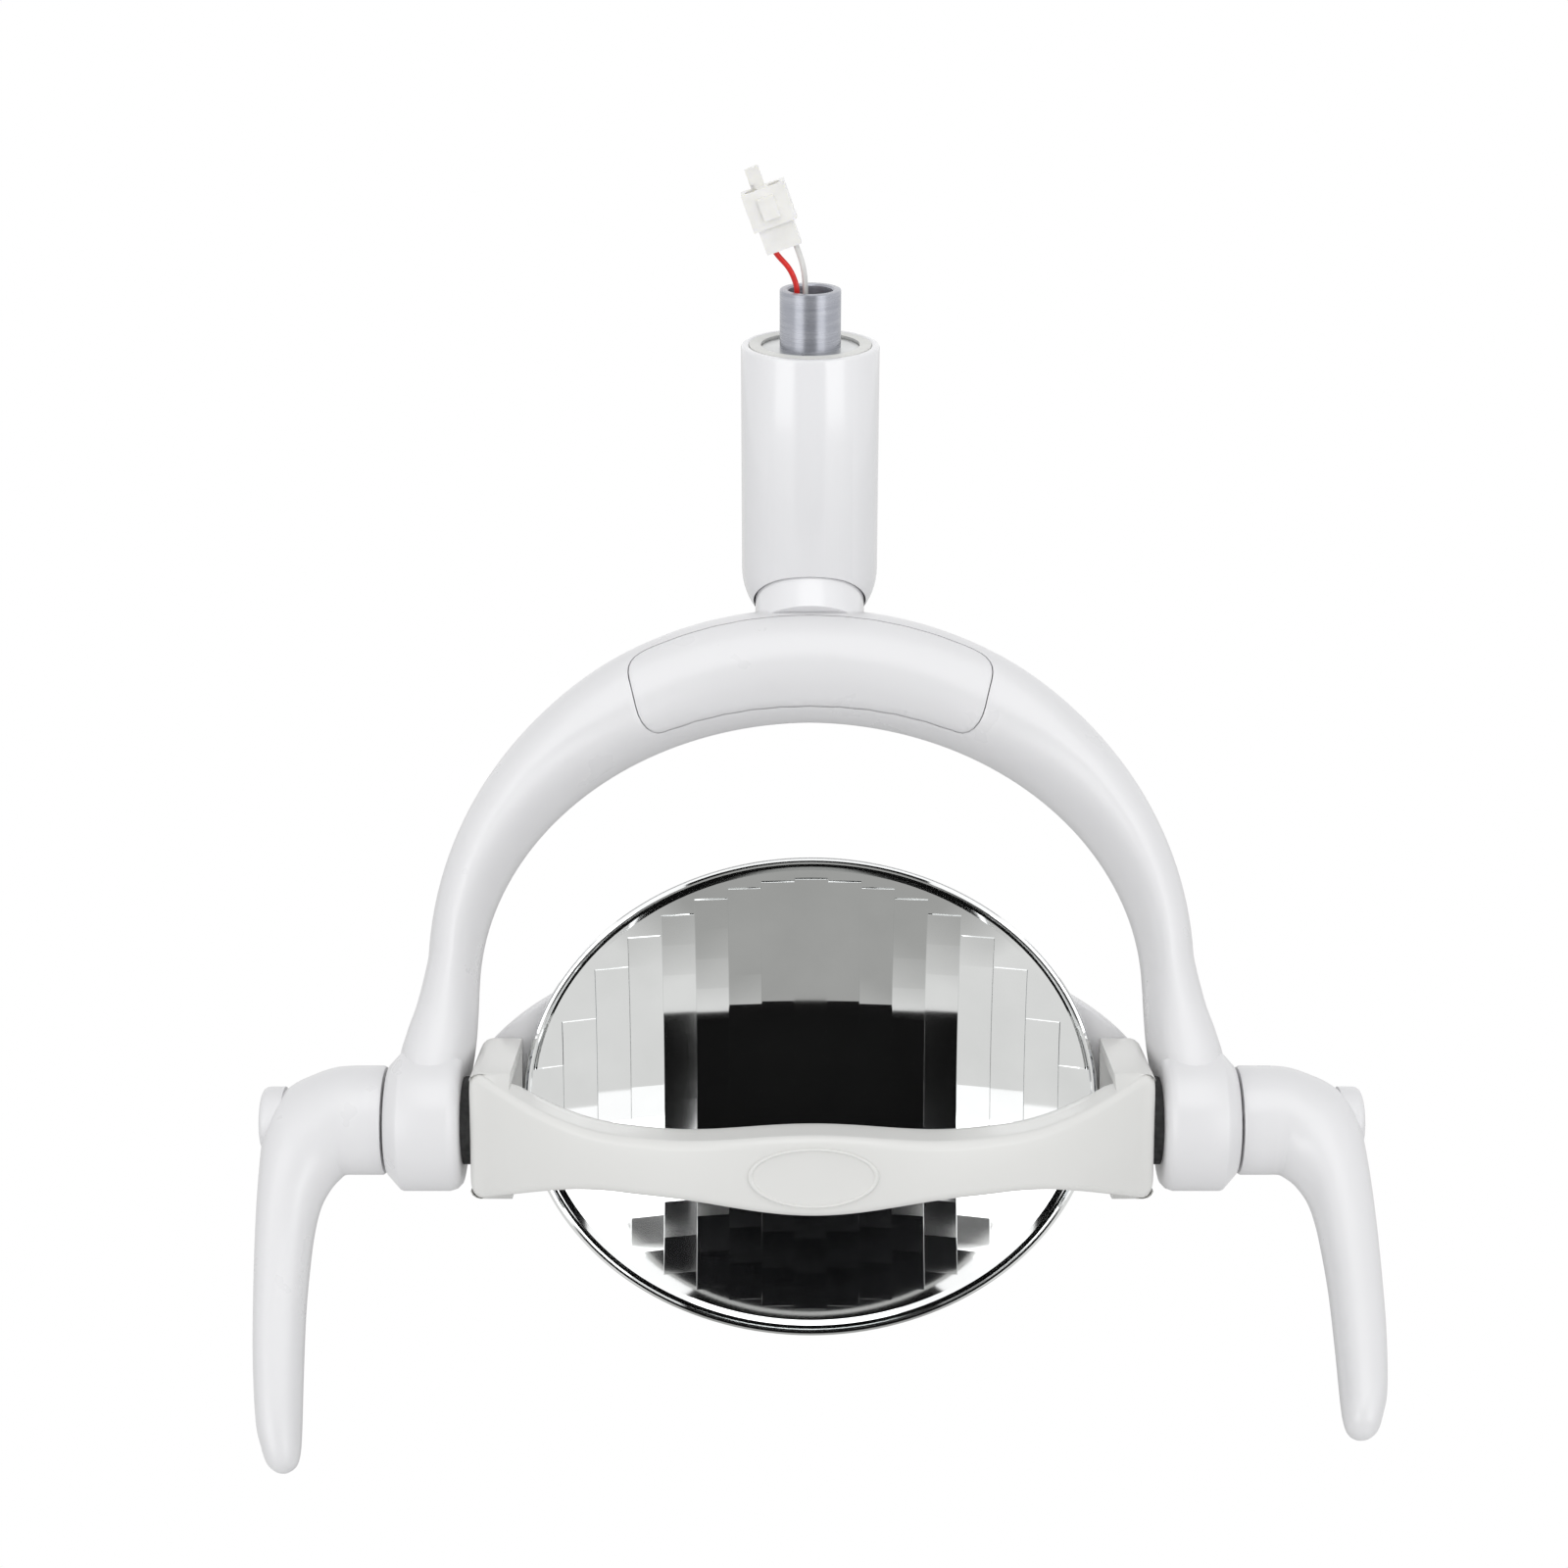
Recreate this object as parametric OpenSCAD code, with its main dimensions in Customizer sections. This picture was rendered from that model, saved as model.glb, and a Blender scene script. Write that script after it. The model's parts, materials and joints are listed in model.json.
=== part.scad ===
// Dental operating light: a shaft-hung swivel sleeve, an inclined neck with a U-shaped yoke,
// and a tilting head with a faceted reflector that is lit from LEDs in its front bar.
// The shaft is vertical, -Y is the front, and the origin is where the shaft leaves the cover washer.

/* [Mounting shaft] */
// Outside diameter of the mounting shaft
shaft_d = 22; // [18:0.5:26]
// Bore of the mounting shaft, which the leads come out of
shaft_bore_d = 16; // [13:0.5:16]
// Length of shaft that stands out of the cover washer
shaft_pin_len = 21; // [16:1:26]
// Outside diameter of the polished cover washer
cover_washer_d = 35; // [30:1:40]

/* [Swivel sleeve] */
// Outside diameter of the sleeve and of its round end
sleeve_d = 50; // [48:1:60]
// Wall of the sleeve
sleeve_wall = 3; // [2.5:0.5:4]
// Distance from the cover washer down to the centre of the round end
sleeve_drop = 83; // [80:1:110]
// Lean of the neck's axis from the shaft's axis, in degrees
neck_lean = 45; // [40:1:50]

/* [Yoke] */
// Outside diameter of the neck
neck_d = 40; // [38:1:40]
// Distance along the neck's axis from the round end's centre to the tilt axis
yoke_reach = 212; // [185:1:260]
// Length of neck that shows between the sleeve's mouth and the crown
neck_show = 5.7; // [4:0.1:12]
// Thickness of the crown
crown_h = 41.6; // [36:0.1:46]
// Thickness of each limb across its width
limb_w = 17.5; // [14:0.5:22]
// Front-to-back depth of the limbs
limb_depth = 39; // [32:1:42]
// Diameter of the round boss at the end of each limb
boss_d = 48; // [42:1:54]
// Length of each boss along the tilt axis
boss_len = 25.8; // [22:0.1:30]

/* [Head] */
// Width of the reflector over its rolled rim
reflector_w = 201; // [170:1:242]
// Height of the reflector over its rolled rim
reflector_h = 173.4; // [145:0.1:200]
// Depth of the reflector's bowl
reflector_depth = 28.5; // [22:0.5:34]
// Distance of the reflector's rim behind the tilt axis
rim_back = 22; // [18:1:28]
// Upward pitch of the beam at rest, in degrees
head_pitch = 12; // [0:1:20]
// Thickness of the end blocks beside the reflector
block_t = 14; // [12:0.5:18]
// Height of the end blocks
block_h = 44; // [38:1:50]
// Distance of the front bar's face in front of the tilt axis
bar_front = 63; // [56:1:75]
// Thickness of the front bar
bar_t = 18; // [15:1:21]
// Height of the front bar at its middle
bar_mid_h = 27; // [23:0.5:32]
// Height of the front bar's narrow stretches
bar_neck_h = 19.4; // [18:0.2:22]

/* [Handles] */
// Distance of each grip's axis from the middle plane, beyond the boss
grip_out = 33.5; // [30:0.5:40]
// Distance of the handle's tip from the tilt axis
handle_len = 119; // [100:1:145]
// Diameter of the handle's stem
stem_d = 37.2; // [34:0.2:40]
// Forward swing of the left handle from the head's down direction, in degrees
left_swing = 32; // [0:1:60]
// Forward swing of the right handle from the head's down direction, in degrees
right_swing = 50; // [0:1:60]

/* [Hidden] */
$fn = 96;

cut = 1; // how far a cutting shape runs past the face it opens
run_gap = 0.05; // radial clearance of a running fit
body_gap = 0.3; // clearance between pieces that move past each other
seam_gap = 0.2; // gap at a seam between fixed pieces

// Shaft and what it carries
shaft_r = shaft_d / 2;
journal_r = shaft_r - 0.5; // the shaft steps in under the cover washer, so that the washer meets a shoulder
bore_r = shaft_bore_d / 2;
washer_t = 1.8;
rim_rise = 1; // the sleeve's rim above the cover washer's face
sleeve_r = sleeve_d / 2;
sleeve_in_r = sleeve_r - sleeve_wall;
upper_bush_len = 15;
lower_bush_top = -34;
lower_bush_len = 14;
thrust_t = 1.7;
circlip_t = 1.5;
groove_depth = 0.8;
thrust_top = lower_bush_top - lower_bush_len - body_gap;
circlip_top = thrust_top - thrust_t;
shaft_end = circlip_top - circlip_t - 3.5;
collar_top = -18;
collar_t = 6;
collar_r = shaft_r + 4;
lug_r = sleeve_in_r - 2;
lug_w = 5.2;
stop_pin_r = 2;
stop_pin_tip = max(lug_r - 3.5, collar_r + 0.5);
brake_z = lower_bush_top - lower_bush_len / 2;
brake_r = 3.9;
brake_split = shaft_r + 5;

// Swivel joint inside the round end, in the neck's frame: Z along the neck's axis
core_face = -5;
flange_t = 2;
neck_top = core_face - flange_t - body_gap;
neck_r = neck_d / 2;
mouth_r = neck_r + 0.7;
mouth_lip = sqrt(sleeve_r * sleeve_r - mouth_r * mouth_r);
crown_top = mouth_lip + neck_show;
spindle_r = 10;
cable_r = 5.5;
neck_bush_r = 13;
neck_bush_top = 8;
neck_washer_t = 2;
spindle_end = 14;
pocket_end = 18;
core_top = 23;
neck_foot = -(crown_top + 6.3);
neck_screw_ring = 10.5;
neck_screw_turns = [-90, 30, 150];
neck_screw_r = 2;
neck_screw_bite = 9;

// Yoke, in the neck's frame
head_half = reflector_w / 2 + seam_gap + block_t + 0.3;
boss_in = head_half + 3.7;
boss_out = boss_in + boss_len;
boss_r = boss_d / 2;
limb_in = head_half + 1;
limb_out = limb_in + limb_w;
crown_r = crown_h / 2;
outer_drop = yoke_reach - 57; // where the outer edge turns from the crown's arc into the limb
inner_drop = yoke_reach - 52;
yoke_wall = 4;
crown_spine = 12; // how far the crown is hollow behind its middle
cover_t = 2.6;
cover_screw_x = 38;
cover_screw_r = 1.5;
cover_screw_bite = 8;
cover_screw_seat = crown_spine + yoke_wall;
cover_screw_z = -(crown_top + crown_r + 11.5);
cover_turn = 31; // how far the cover runs round the crown's arc, in degrees
bush_t = 3;
axle_r = 8;
bush_r = axle_r + bush_t;

// Head, in the head's frame: -Y along the beam
reflector_a = reflector_w / 2;
reflector_b = reflector_h / 2;
shell_t = 1.6;
block_in = head_half - block_t;
block_front = -22;
block_back = 28;
block_wall = 3.5;
bolt_y = 11.5; // bracket screws, from the tilt axis
bolt_z = 11;
bolt_head = 3.5;
bolt_seat = head_half - 1.5;
wing_screw_z = 13;
wing_screw_r = 1.9;
bar_bow = 43; // how far the bar's ends lie behind its middle
bar_span = head_half - 3;
bar_r = (bar_span * bar_span + bar_bow * bar_bow) / (2 * bar_bow);
bar_centre = bar_r - bar_front;
bracket_t = 3.4;
bracket_x = head_half - block_wall - body_gap - bracket_t;
wing_screw_x = block_in + 6;
wing_screw_start = block_back - 9;
bar_waist = 0.45; // share of the half span where the bar is narrowest
bar_flare = 0.56; // and where it starts to widen
led_pocket = 12;
led_span = 30;
housing_wall = 2.5;
housing_back = 78;
wing_seat = 6; // depth of material under the housing screws' heads

// Handles, in a frame that hangs from the tilt axis
stem_in = boss_out + body_gap + 0.1;
grip_x = boss_out + grip_out;
stem_r = stem_d / 2;
axle_out = stem_in + 16;
screw_seat = axle_out + 9;
cap_r = 11.6;
cap_seat = grip_x + 8;

// Leads and connector
lead_r = 1;
grommet_top = 5;
red_route = [[-5.2, -1.2, 1], [-5.2, -1.2, 4], [-5.2, -1.2, 7], [-5.2, -1.2, 10], [-5.1, -1.2, 13],
    [-4.9, -1.2, 16], [-4.8, -1.1, 19], [-5, -1, 22], [-5.7, -0.8, 24.5], [-6.8, -0.5, 27],
    [-8.2, -0.3, 29.2], [-9.9, -0.1, 31.1], [-11.6, 0, 33], [-13.3, 0, 35.4]];
white_route = [[-1.8, 1.2, 1], [-1.8, 1.2, 4], [-1.8, 1.2, 7], [-1.8, 1.2, 10], [-1.8, 1.2, 13],
    [-1.8, 1.1, 16], [-1.8, 0.9, 19], [-1.9, 0.7, 22], [-2.1, 0.5, 25], [-2.5, 0.3, 28],
    [-3.2, 0.1, 31], [-4.2, 0, 34], [-5.5, 0, 37.6]];
plug_lean = 20;
plug_foot = [-9.3, 0, 35.7];

white = [0.92, 0.92, 0.93];
bright = [0.80, 0.81, 0.83];
steel = [0.62, 0.63, 0.66];
acetal = [0.90, 0.90, 0.88];
nylon = [0.94, 0.93, 0.90];
brass = [0.80, 0.66, 0.36];
board_green = [0.10, 0.36, 0.22];
dark = [0.16, 0.16, 0.17];

// Frames
module at_neck() translate([0, 0, -sleeve_drop]) rotate([-neck_lean, 0, 0]) children();
module at_tilt() at_neck() translate([0, 0, -yoke_reach]) rotate([neck_lean, 0, 0]) children();
module at_head() at_tilt() rotate([-head_pitch, 0, 0]) children();
module at_plug() translate(plug_foot) rotate([0, -plug_lean, 0]) children();
module side(right) mirror([right ? 0 : 1, 0, 0]) children();
module both_sides() {
    side(true) children();
    side(false) children();
}
module along_x(x, y = 0, z = 0) translate([x, y, z]) rotate([0, 90, 0]) children();
module along_y(x, y, z) translate([x, y, z]) rotate([-90, 0, 0]) children();

// Plain turned pieces
module ring(r_out, r_in, z, h) translate([0, 0, z]) difference() {
    cylinder(r = r_out, h = h);
    translate([0, 0, -cut]) cylinder(r = r_in, h = h + 2 * cut);
}
module open_ring(r_out, r_in, z, h, gap_w) difference() {
    ring(r_out, r_in, z, h);
    translate([0, -gap_w / 2, z - cut]) cube([r_out + cut, gap_w, h + 2 * cut]);
}
module cap_screw(r, h, head_r, head_h, socket_r) {
    difference() {
        union() {
            cylinder(r = r, h = h);
            translate([0, 0, h]) cylinder(r = head_r, h = head_h);
        }
        translate([0, 0, h + head_h / 2]) cylinder(r = socket_r, h = head_h, $fn = 6);
    }
}

// Lofts: rings of points, joined by triangles and closed at both ends
function flat(lists) = [for (l = lists) for (p = l) p];
function loft_faces(n, m) = concat(
    [for (i = [0 : n - 2]) for (k = [0 : m - 1]) [i * m + k, i * m + (k + 1) % m, (i + 1) * m + k]],
    [for (i = [0 : n - 2]) for (k = [0 : m - 1])
        [(i + 1) * m + k, i * m + (k + 1) % m, (i + 1) * m + (k + 1) % m]],
    [[for (k = [m - 1 : -1 : 0]) k]],
    [[for (k = [0 : m - 1]) (n - 1) * m + k]]);
module loft(rings) polyhedron(points = flat(rings), faces = loft_faces(len(rings), len(rings[0])));

function mix(a, b, t) = a + (b - a) * t;
function bulge(v, power) = sign(v) * pow(abs(v), 2 / power);
// A ring in the plane of an inner and an outer edge point, rounded from front to back
function edge_ring(s, inset, sides) =
    let (dx = s[2] - s[0], dz = s[3] - s[1], w = sqrt(dx * dx + dz * dz), k = 0.5 - inset / w)
    [for (i = [0 : sides - 1]) let (a = 360 * i / sides, u = k * bulge(cos(a), s[5]))
        [(s[0] + s[2]) / 2 + dx * u, (s[4] - inset) * bulge(sin(a), s[5]), (s[1] + s[3]) / 2 + dz * u]];

// Yoke sections: inner x and z, outer x and z, half depth, roundness
function crown_section(t) = [limb_in * sin(t), -inner_drop + (inner_drop - crown_top - crown_h) * cos(t),
    limb_out * sin(t), -outer_drop + (outer_drop - crown_top) * cos(t),
    mix(crown_r, limb_depth / 2, abs(sin(t))), mix(2, 2.7, abs(sin(t)))];
limb_sections = [
    [limb_in, -yoke_reach + 40, limb_out + 3.2, -yoke_reach + 40, limb_depth / 2, 2.7],
    [limb_in + 0.3, -yoke_reach + 29, limb_out + 6.2, -yoke_reach + 29, limb_depth / 2, 2.7],
    [limb_in + 1.4, -yoke_reach + 18, limb_out + 8, -yoke_reach + 18, limb_depth / 2 + 0.8, 2.6],
    [boss_in + 0.8, -yoke_reach + 6, boss_out - 5.5, -yoke_reach + 6, limb_depth / 2, 2.5]];
function mirrored(s) = [-s[0], s[1], -s[2], s[3], s[4], s[5]];
crown_sections = [for (t = [-90 : 7.5 : 90]) crown_section(t)];
yoke_sections = concat([for (i = [3 : -1 : 0]) mirrored(limb_sections[i])], crown_sections, limb_sections);
module yoke_solid(inset = 0) loft([for (s = yoke_sections) edge_ring(s, inset, 16)]);
module crown_solid(inset) loft([for (s = crown_sections) edge_ring(s, inset, 16)]);
function across(t, k) = let (s = crown_section(t)) [mix(s[0], s[2], k), mix(s[1], s[3], k)];
module cover_outline(grow) offset(delta = grow) offset(r = 9) offset(delta = -9) polygon(concat(
    [for (t = [-cover_turn : 3.1 : cover_turn + 0.1]) across(t, 0.78)],
    [for (t = [cover_turn : -3.1 : -cover_turn - 0.1]) across(t, 0.03)]));
module cover_zone(grow) translate([0, -3 + grow, 0]) rotate([90, 0, 0])
    linear_extrude(height = crown_r + 5) cover_outline(grow);

// Mounting shaft group
module mount_shaft() color(bright) difference() {
    union() {
        translate([0, 0, shaft_end]) cylinder(r = journal_r, h = -shaft_end);
        cylinder(r = shaft_r, h = shaft_pin_len);
    }
    translate([0, 0, shaft_end - cut]) cylinder(r = bore_r, h = shaft_pin_len - shaft_end + 2 * cut);
    ring(journal_r + cut, journal_r - groove_depth, circlip_top - circlip_t, circlip_t);
}
module cover_washer() color(bright) ring(cover_washer_d / 2, journal_r, -washer_t, washer_t);
module stop_collar() color(steel) {
    ring(collar_r, journal_r, collar_top - collar_t, collar_t);
    intersection() {
        ring(lug_r, collar_r - cut, collar_top - collar_t, collar_t);
        translate([-lug_w / 2, -lug_r - cut, collar_top - collar_t]) cube([lug_w, lug_r, collar_t]);
    }
}
module thrust_washer() color(steel) ring(shaft_r + 5, journal_r, circlip_top, thrust_t);
module shaft_circlip() color(dark)
    open_ring(shaft_r + 2.5, journal_r - groove_depth, circlip_top - circlip_t, circlip_t, 5);
module cable_grommet() color(dark) difference() {
    translate([0, 0, grommet_top - 8]) cylinder(r = bore_r, h = 8);
    for (p = [red_route[0], white_route[0]])
        translate([p[0], p[1], grommet_top - 8 - cut]) cylinder(r = lead_r + 0.1, h = 8 + 2 * cut);
}

// Leads: a tube of eight sides along each route
function unit(v) = v / norm(v);
function heading(p, i) = unit(p[min(i + 1, len(p) - 1)] - p[max(i - 1, 0)]);
function lead_ring(p, i) = let (d = heading(p, i), u = unit(cross([0, 1, 0], d)), v = cross(d, u))
    [for (k = [0 : 7]) p[i] + lead_r * (cos(45 * k) * u + sin(45 * k) * v)];
module lead(route) loft([for (i = [len(route) - 1 : -1 : 0]) lead_ring(route, i)]);
module lead_red() color("red") lead(red_route);
module lead_white() color("white") lead(white_route);

// Two-way connector: the leads enter the rear housing, and the plug mates at the far end
module connector_rear() color(nylon) at_plug() difference() {
    translate([-6.4, -3, 0]) cube([12.8, 6, 8.8]);
    for (x = [-4.2, 4.2]) translate([x, 0, 5]) cylinder(r = 1.6, h = 5);
}
module connector_plug() color(nylon) at_plug() difference() {
    union() {
        translate([-8, -4, 9]) cube([16, 8, 14]);
        translate([-4, 0.9, 22]) cube([5, 1.8, 8.4]);
        translate([-3, -5.4, 12]) cube([6, 1.5, 8]);
    }
    for (x = [-4.2, 4.2]) translate([x, -0.9, 10.5]) cylinder(r = 2.4, h = 14);
    for (x = [-4.2, 4.2]) translate([x, 0, 8]) cylinder(r = 1.1, h = 4);
}
module contact_pins() color(brass) at_plug() for (x = [-4.2, 4.2]) {
    translate([x, 0, 5]) cylinder(r = 1.1, h = 7);
    translate([x, -0.9, 10.5]) cylinder(r = 1.1, h = 9);
}

// Swivel sleeve group
module sleeve_shell() color(white) difference() {
    union() {
        translate([0, 0, -sleeve_drop]) cylinder(r = sleeve_r, h = sleeve_drop + rim_rise);
        translate([0, 0, -sleeve_drop]) sphere(r = sleeve_r);
    }
    translate([0, 0, -sleeve_drop]) cylinder(r = sleeve_in_r, h = sleeve_drop + rim_rise + cut);
    translate([0, 0, -sleeve_drop]) sphere(r = sleeve_in_r);
    at_neck() translate([0, 0, -sleeve_r - 2]) cylinder(r = mouth_r, h = sleeve_r + 2);
    translate([0, 0, collar_top - collar_t / 2]) rotate([-90, 0, 0]) cylinder(r = stop_pin_r, h = sleeve_d);
    translate([0, 0, brake_z]) rotate([-90, 0, 0]) cylinder(r = brake_r, h = sleeve_d);
}
module upper_bush() color(acetal) difference() {
    ring(sleeve_in_r, journal_r + run_gap, rim_rise - upper_bush_len, upper_bush_len);
    translate([0, 0, -washer_t - body_gap])
        cylinder(r = cover_washer_d / 2 + body_gap, h = washer_t + body_gap + rim_rise + cut);
}
module lower_bush() color(acetal) difference() {
    ring(sleeve_in_r, journal_r + run_gap, lower_bush_top - lower_bush_len, lower_bush_len);
    translate([0, 0, brake_z]) rotate([-90, 0, 0]) cylinder(r = brake_r, h = sleeve_d);
}
module swivel_core() color(steel) difference() {
    intersection() {
        union() {
            translate([0, 0, -sleeve_drop]) cylinder(r = sleeve_in_r, h = core_top);
            translate([0, 0, -sleeve_drop]) sphere(r = sleeve_in_r);
        }
        at_neck() translate([-sleeve_d, -sleeve_d, core_face]) cube(2 * sleeve_d);
    }
    at_neck() translate([0, 0, core_face - cut]) cylinder(r = neck_bush_r, h = pocket_end - core_face + cut);
    translate([0, 4, -sleeve_drop + 6]) cylinder(r = cable_r, h = core_top);
}
module neck_bush() color(acetal) at_neck() {
    ring(neck_bush_r, spindle_r + run_gap, core_face, neck_bush_top - core_face);
    ring(neck_r - 2, spindle_r + run_gap, core_face - flange_t, flange_t);
}
module brake_pad() color(dark) difference() {
    translate([0, 0, brake_z]) rotate([-90, 0, 0]) cylinder(r = brake_r, h = brake_split);
    translate([0, 0, brake_z - 2 * brake_r]) cylinder(r = journal_r + run_gap, h = 4 * brake_r);
    translate([-brake_r - cut, -cut, brake_z - brake_r - cut]) cube([2 * brake_r + 2 * cut, 2, 2 * brake_r + 2 * cut]);
}
module brake_screw() color(dark) difference() {
    translate([0, brake_split, brake_z]) rotate([-90, 0, 0])
        cylinder(r = brake_r, h = sleeve_r - 1.5 - brake_split);
    translate([0, sleeve_r - 4.5, brake_z]) rotate([-90, 0, 0]) cylinder(r = 2, h = 5, $fn = 6);
}
module stop_pin() color(steel) translate([0, stop_pin_tip, collar_top - collar_t / 2]) rotate([-90, 0, 0])
    cylinder(r = stop_pin_r, h = sleeve_r - 0.6 - stop_pin_tip);

// Yoke group
module neck_screw_places() for (a = neck_screw_turns) rotate([0, 0, a]) translate([neck_screw_ring, 0, 0]) children();
module neck() color(white) at_neck() difference() {
    union() {
        translate([0, 0, neck_foot]) cylinder(r = neck_r, h = neck_top - neck_foot);
        translate([0, 0, neck_top - cut]) cylinder(r = spindle_r, h = spindle_end - neck_top + cut);
    }
    translate([0, 0, neck_foot - cut]) cylinder(r = cable_r, h = spindle_end - neck_foot + 2 * cut);
    ring(spindle_r + cut, spindle_r - groove_depth, neck_bush_top + body_gap + neck_washer_t, circlip_t);
    neck_screw_places() translate([0, 0, neck_foot - cut]) cylinder(r = neck_screw_r, h = neck_screw_bite + 3 + cut);
}
module neck_washer() color(steel) at_neck()
    ring(neck_bush_r - body_gap, spindle_r, neck_bush_top + body_gap, neck_washer_t);
module neck_circlip() color(dark) at_neck() open_ring(spindle_r + 2, spindle_r - groove_depth,
    neck_bush_top + body_gap + neck_washer_t, circlip_t, 4);
module boss() rotate([0, 90, 0]) rotate_extrude() polygon([[bush_r, boss_in], [boss_r - 4, boss_in],
    [boss_r - 1.2, boss_in + 1.2], [boss_r, boss_in + 4], [boss_r, boss_out - 5],
    [stem_r + 0.3, boss_out], [bush_r, boss_out]]);
module yoke_frame() color(white) at_neck() {
    difference() {
        yoke_solid();
        crown_solid_cavity();
        cover_zone(seam_gap);
        translate([0, 0, neck_foot]) cylinder(r = neck_r, h = neck_d);
        translate([0, 0, -crown_top - crown_r]) cylinder(r = cable_r, h = crown_r);
        neck_screw_places() translate([0, 0, -crown_top - crown_r]) cylinder(r = neck_screw_r, h = crown_r);
        both_sides() along_x(limb_in, 0, -yoke_reach) cylinder(r = boss_r - 0.5, h = boss_len + 10);
        for (x = [-cover_screw_x, cover_screw_x]) {
            along_y(x, 0, cover_screw_z) cylinder(r = cover_screw_r + 0.1, h = crown_h);
            along_y(x, cover_screw_seat, cover_screw_z) cylinder(r = 3, h = crown_h);
        }
    }
    both_sides() translate([0, 0, -yoke_reach]) boss();
}
module crown_solid_cavity() intersection() {
    crown_solid(yoke_wall);
    translate([-60, -crown_r, -yoke_reach])
        cube([120, crown_r + crown_spine, yoke_reach + neck_foot - yoke_wall]);
}
module yoke_cover() color(white) at_neck() {
    intersection() {
        difference() {
            crown_solid(0);
            crown_solid(cover_t);
        }
        cover_zone(0);
    }
    for (x = [-cover_screw_x, cover_screw_x]) difference() {
        along_y(x, 3.5 - crown_r, cover_screw_z) cylinder(r = 4, h = crown_r + crown_spine - seam_gap - 3.5);
        along_y(x, crown_spine - cover_screw_bite - 1, cover_screw_z) cylinder(r = cover_screw_r, h = crown_r);
    }
}
module cover_screws() color(steel) at_neck() for (x = [-cover_screw_x, cover_screw_x])
    translate([x, crown_spine - cover_screw_bite, cover_screw_z]) rotate([-90, 0, 0])
        cap_screw(cover_screw_r, cover_screw_bite + yoke_wall, 2.8, 2.4, 1.4);
module neck_screws() color(steel) at_neck() neck_screw_places()
    translate([0, 0, neck_foot + neck_screw_bite]) rotate([180, 0, 0])
        cap_screw(neck_screw_r, neck_screw_bite + yoke_wall, 3.5, 3.6, 1.7);
module tilt_bush(right) color(acetal) at_tilt() side(right) along_x(boss_in)
    ring(bush_r, axle_r + run_gap, 0, boss_len);
module friction_washer(right) color(dark) at_tilt() side(right) along_x(head_half + body_gap)
    ring(15, axle_r + body_gap, 0, boss_in - head_half - body_gap);

// Head group: axles, brackets and screws
module tilt_axle(right) color(steel) at_tilt() side(right) difference() {
    union() {
        along_x(bracket_x - 3) cylinder(r = 12, h = 3);
        along_x(bracket_x - 3) cylinder(r = axle_r, h = axle_out - bracket_x + 3);
    }
    along_x(axle_out - 14) cylinder(r = 4, h = 15);
}
module side_bracket(right) color(steel) at_head() side(right) difference() {
    translate([bracket_x, -15, -17]) cube([bracket_t, 14 + wing_screw_start, 34]);
    along_x(bracket_x - cut) cylinder(r = axle_r, h = bracket_t + 2 * cut);
    for (z = [-bolt_z, bolt_z]) along_x(bracket_x - cut, bolt_y, z) cylinder(r = 2, h = bracket_t + 2 * cut);
}
module bracket_screws() color(steel) at_head() both_sides() for (z = [-bolt_z, bolt_z])
    translate([bolt_seat, bolt_y, z]) rotate([0, -90, 0])
        cap_screw(2, bolt_seat - bracket_x, bolt_head, 2, 1.5);

// Front bar with its end blocks
function bar_half_h(x) = let (u = abs(x) / bar_span) u < bar_waist
    ? bar_neck_h / 2 + (bar_mid_h - bar_neck_h) / 2 * (1 + cos(180 * u / bar_waist)) / 2
    : u < bar_flare ? bar_neck_h / 2
    : mix(bar_neck_h / 2, block_h / 2, 1 - cos(90 * min((u - bar_flare) / (1 - bar_flare), 1)));
bar_steps = [for (i = [-22 : 22]) i * head_half / 22];
module bar_outline() polygon(concat([for (x = bar_steps) [x, bar_half_h(x)]],
    [for (i = [len(bar_steps) - 1 : -1 : 0]) [bar_steps[i], -bar_half_h(bar_steps[i])]]));
module bar_band(front, back) translate([0, bar_centre, -block_h]) difference() {
    cylinder(r = bar_r + front, h = 2 * block_h, $fn = 256);
    translate([0, 0, -cut]) cylinder(r = bar_r - back, h = 2 * block_h + 2 * cut, $fn = 256);
}
module front_bar() color(white) at_head() difference() {
    union() {
        intersection() {
            bar_band(0, bar_t);
            translate([0, block_front + 10, 0]) rotate([90, 0, 0]) linear_extrude(height = bar_front)
                bar_outline();
        }
        intersection() {
            both_sides() translate([block_in, block_front, -block_h / 2])
                cube([block_t, block_back - block_front, block_h]);
            translate([0, bar_centre, -block_h]) cylinder(r = bar_r, h = 2 * block_h, $fn = 256);
        }
    }
    both_sides() translate([block_in - 20, block_front + 5.5, -block_h / 2 + 3.5])
        cube([head_half - block_wall - block_in + 20, block_back - block_front - 9, block_h - 7]);
    both_sides() along_x(block_in) cylinder(r = axle_r + body_gap, h = block_t + cut);
    both_sides() for (z = [-bolt_z, bolt_z]) along_x(block_in, bolt_y, z) cylinder(r = 2, h = bolt_seat - block_in);
    both_sides() for (z = [-wing_screw_z, wing_screw_z])
        along_y(wing_screw_x, wing_screw_start - cut, z) cylinder(r = wing_screw_r, h = 12);
    translate([-led_span - 2, -bar_front + bar_t - led_pocket, -8.5])
        cube([2 * led_span + 4, led_pocket + 10, 17]);
}
module badge_plate() color(white) at_head() difference() {
    intersection() {
        bar_band(1, 0);
        translate([0, -bar_front + 15, 0]) rotate([90, 0, 0]) linear_extrude(height = 20)
            scale([21.2, 10, 1]) circle(r = 1);
    }
    intersection() {
        bar_band(2, -0.4);
        translate([0, -bar_front + 15, 0]) rotate([90, 0, 0]) linear_extrude(height = 20)
            scale([19.8, 8.6, 1]) circle(r = 1);
    }
}

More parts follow.
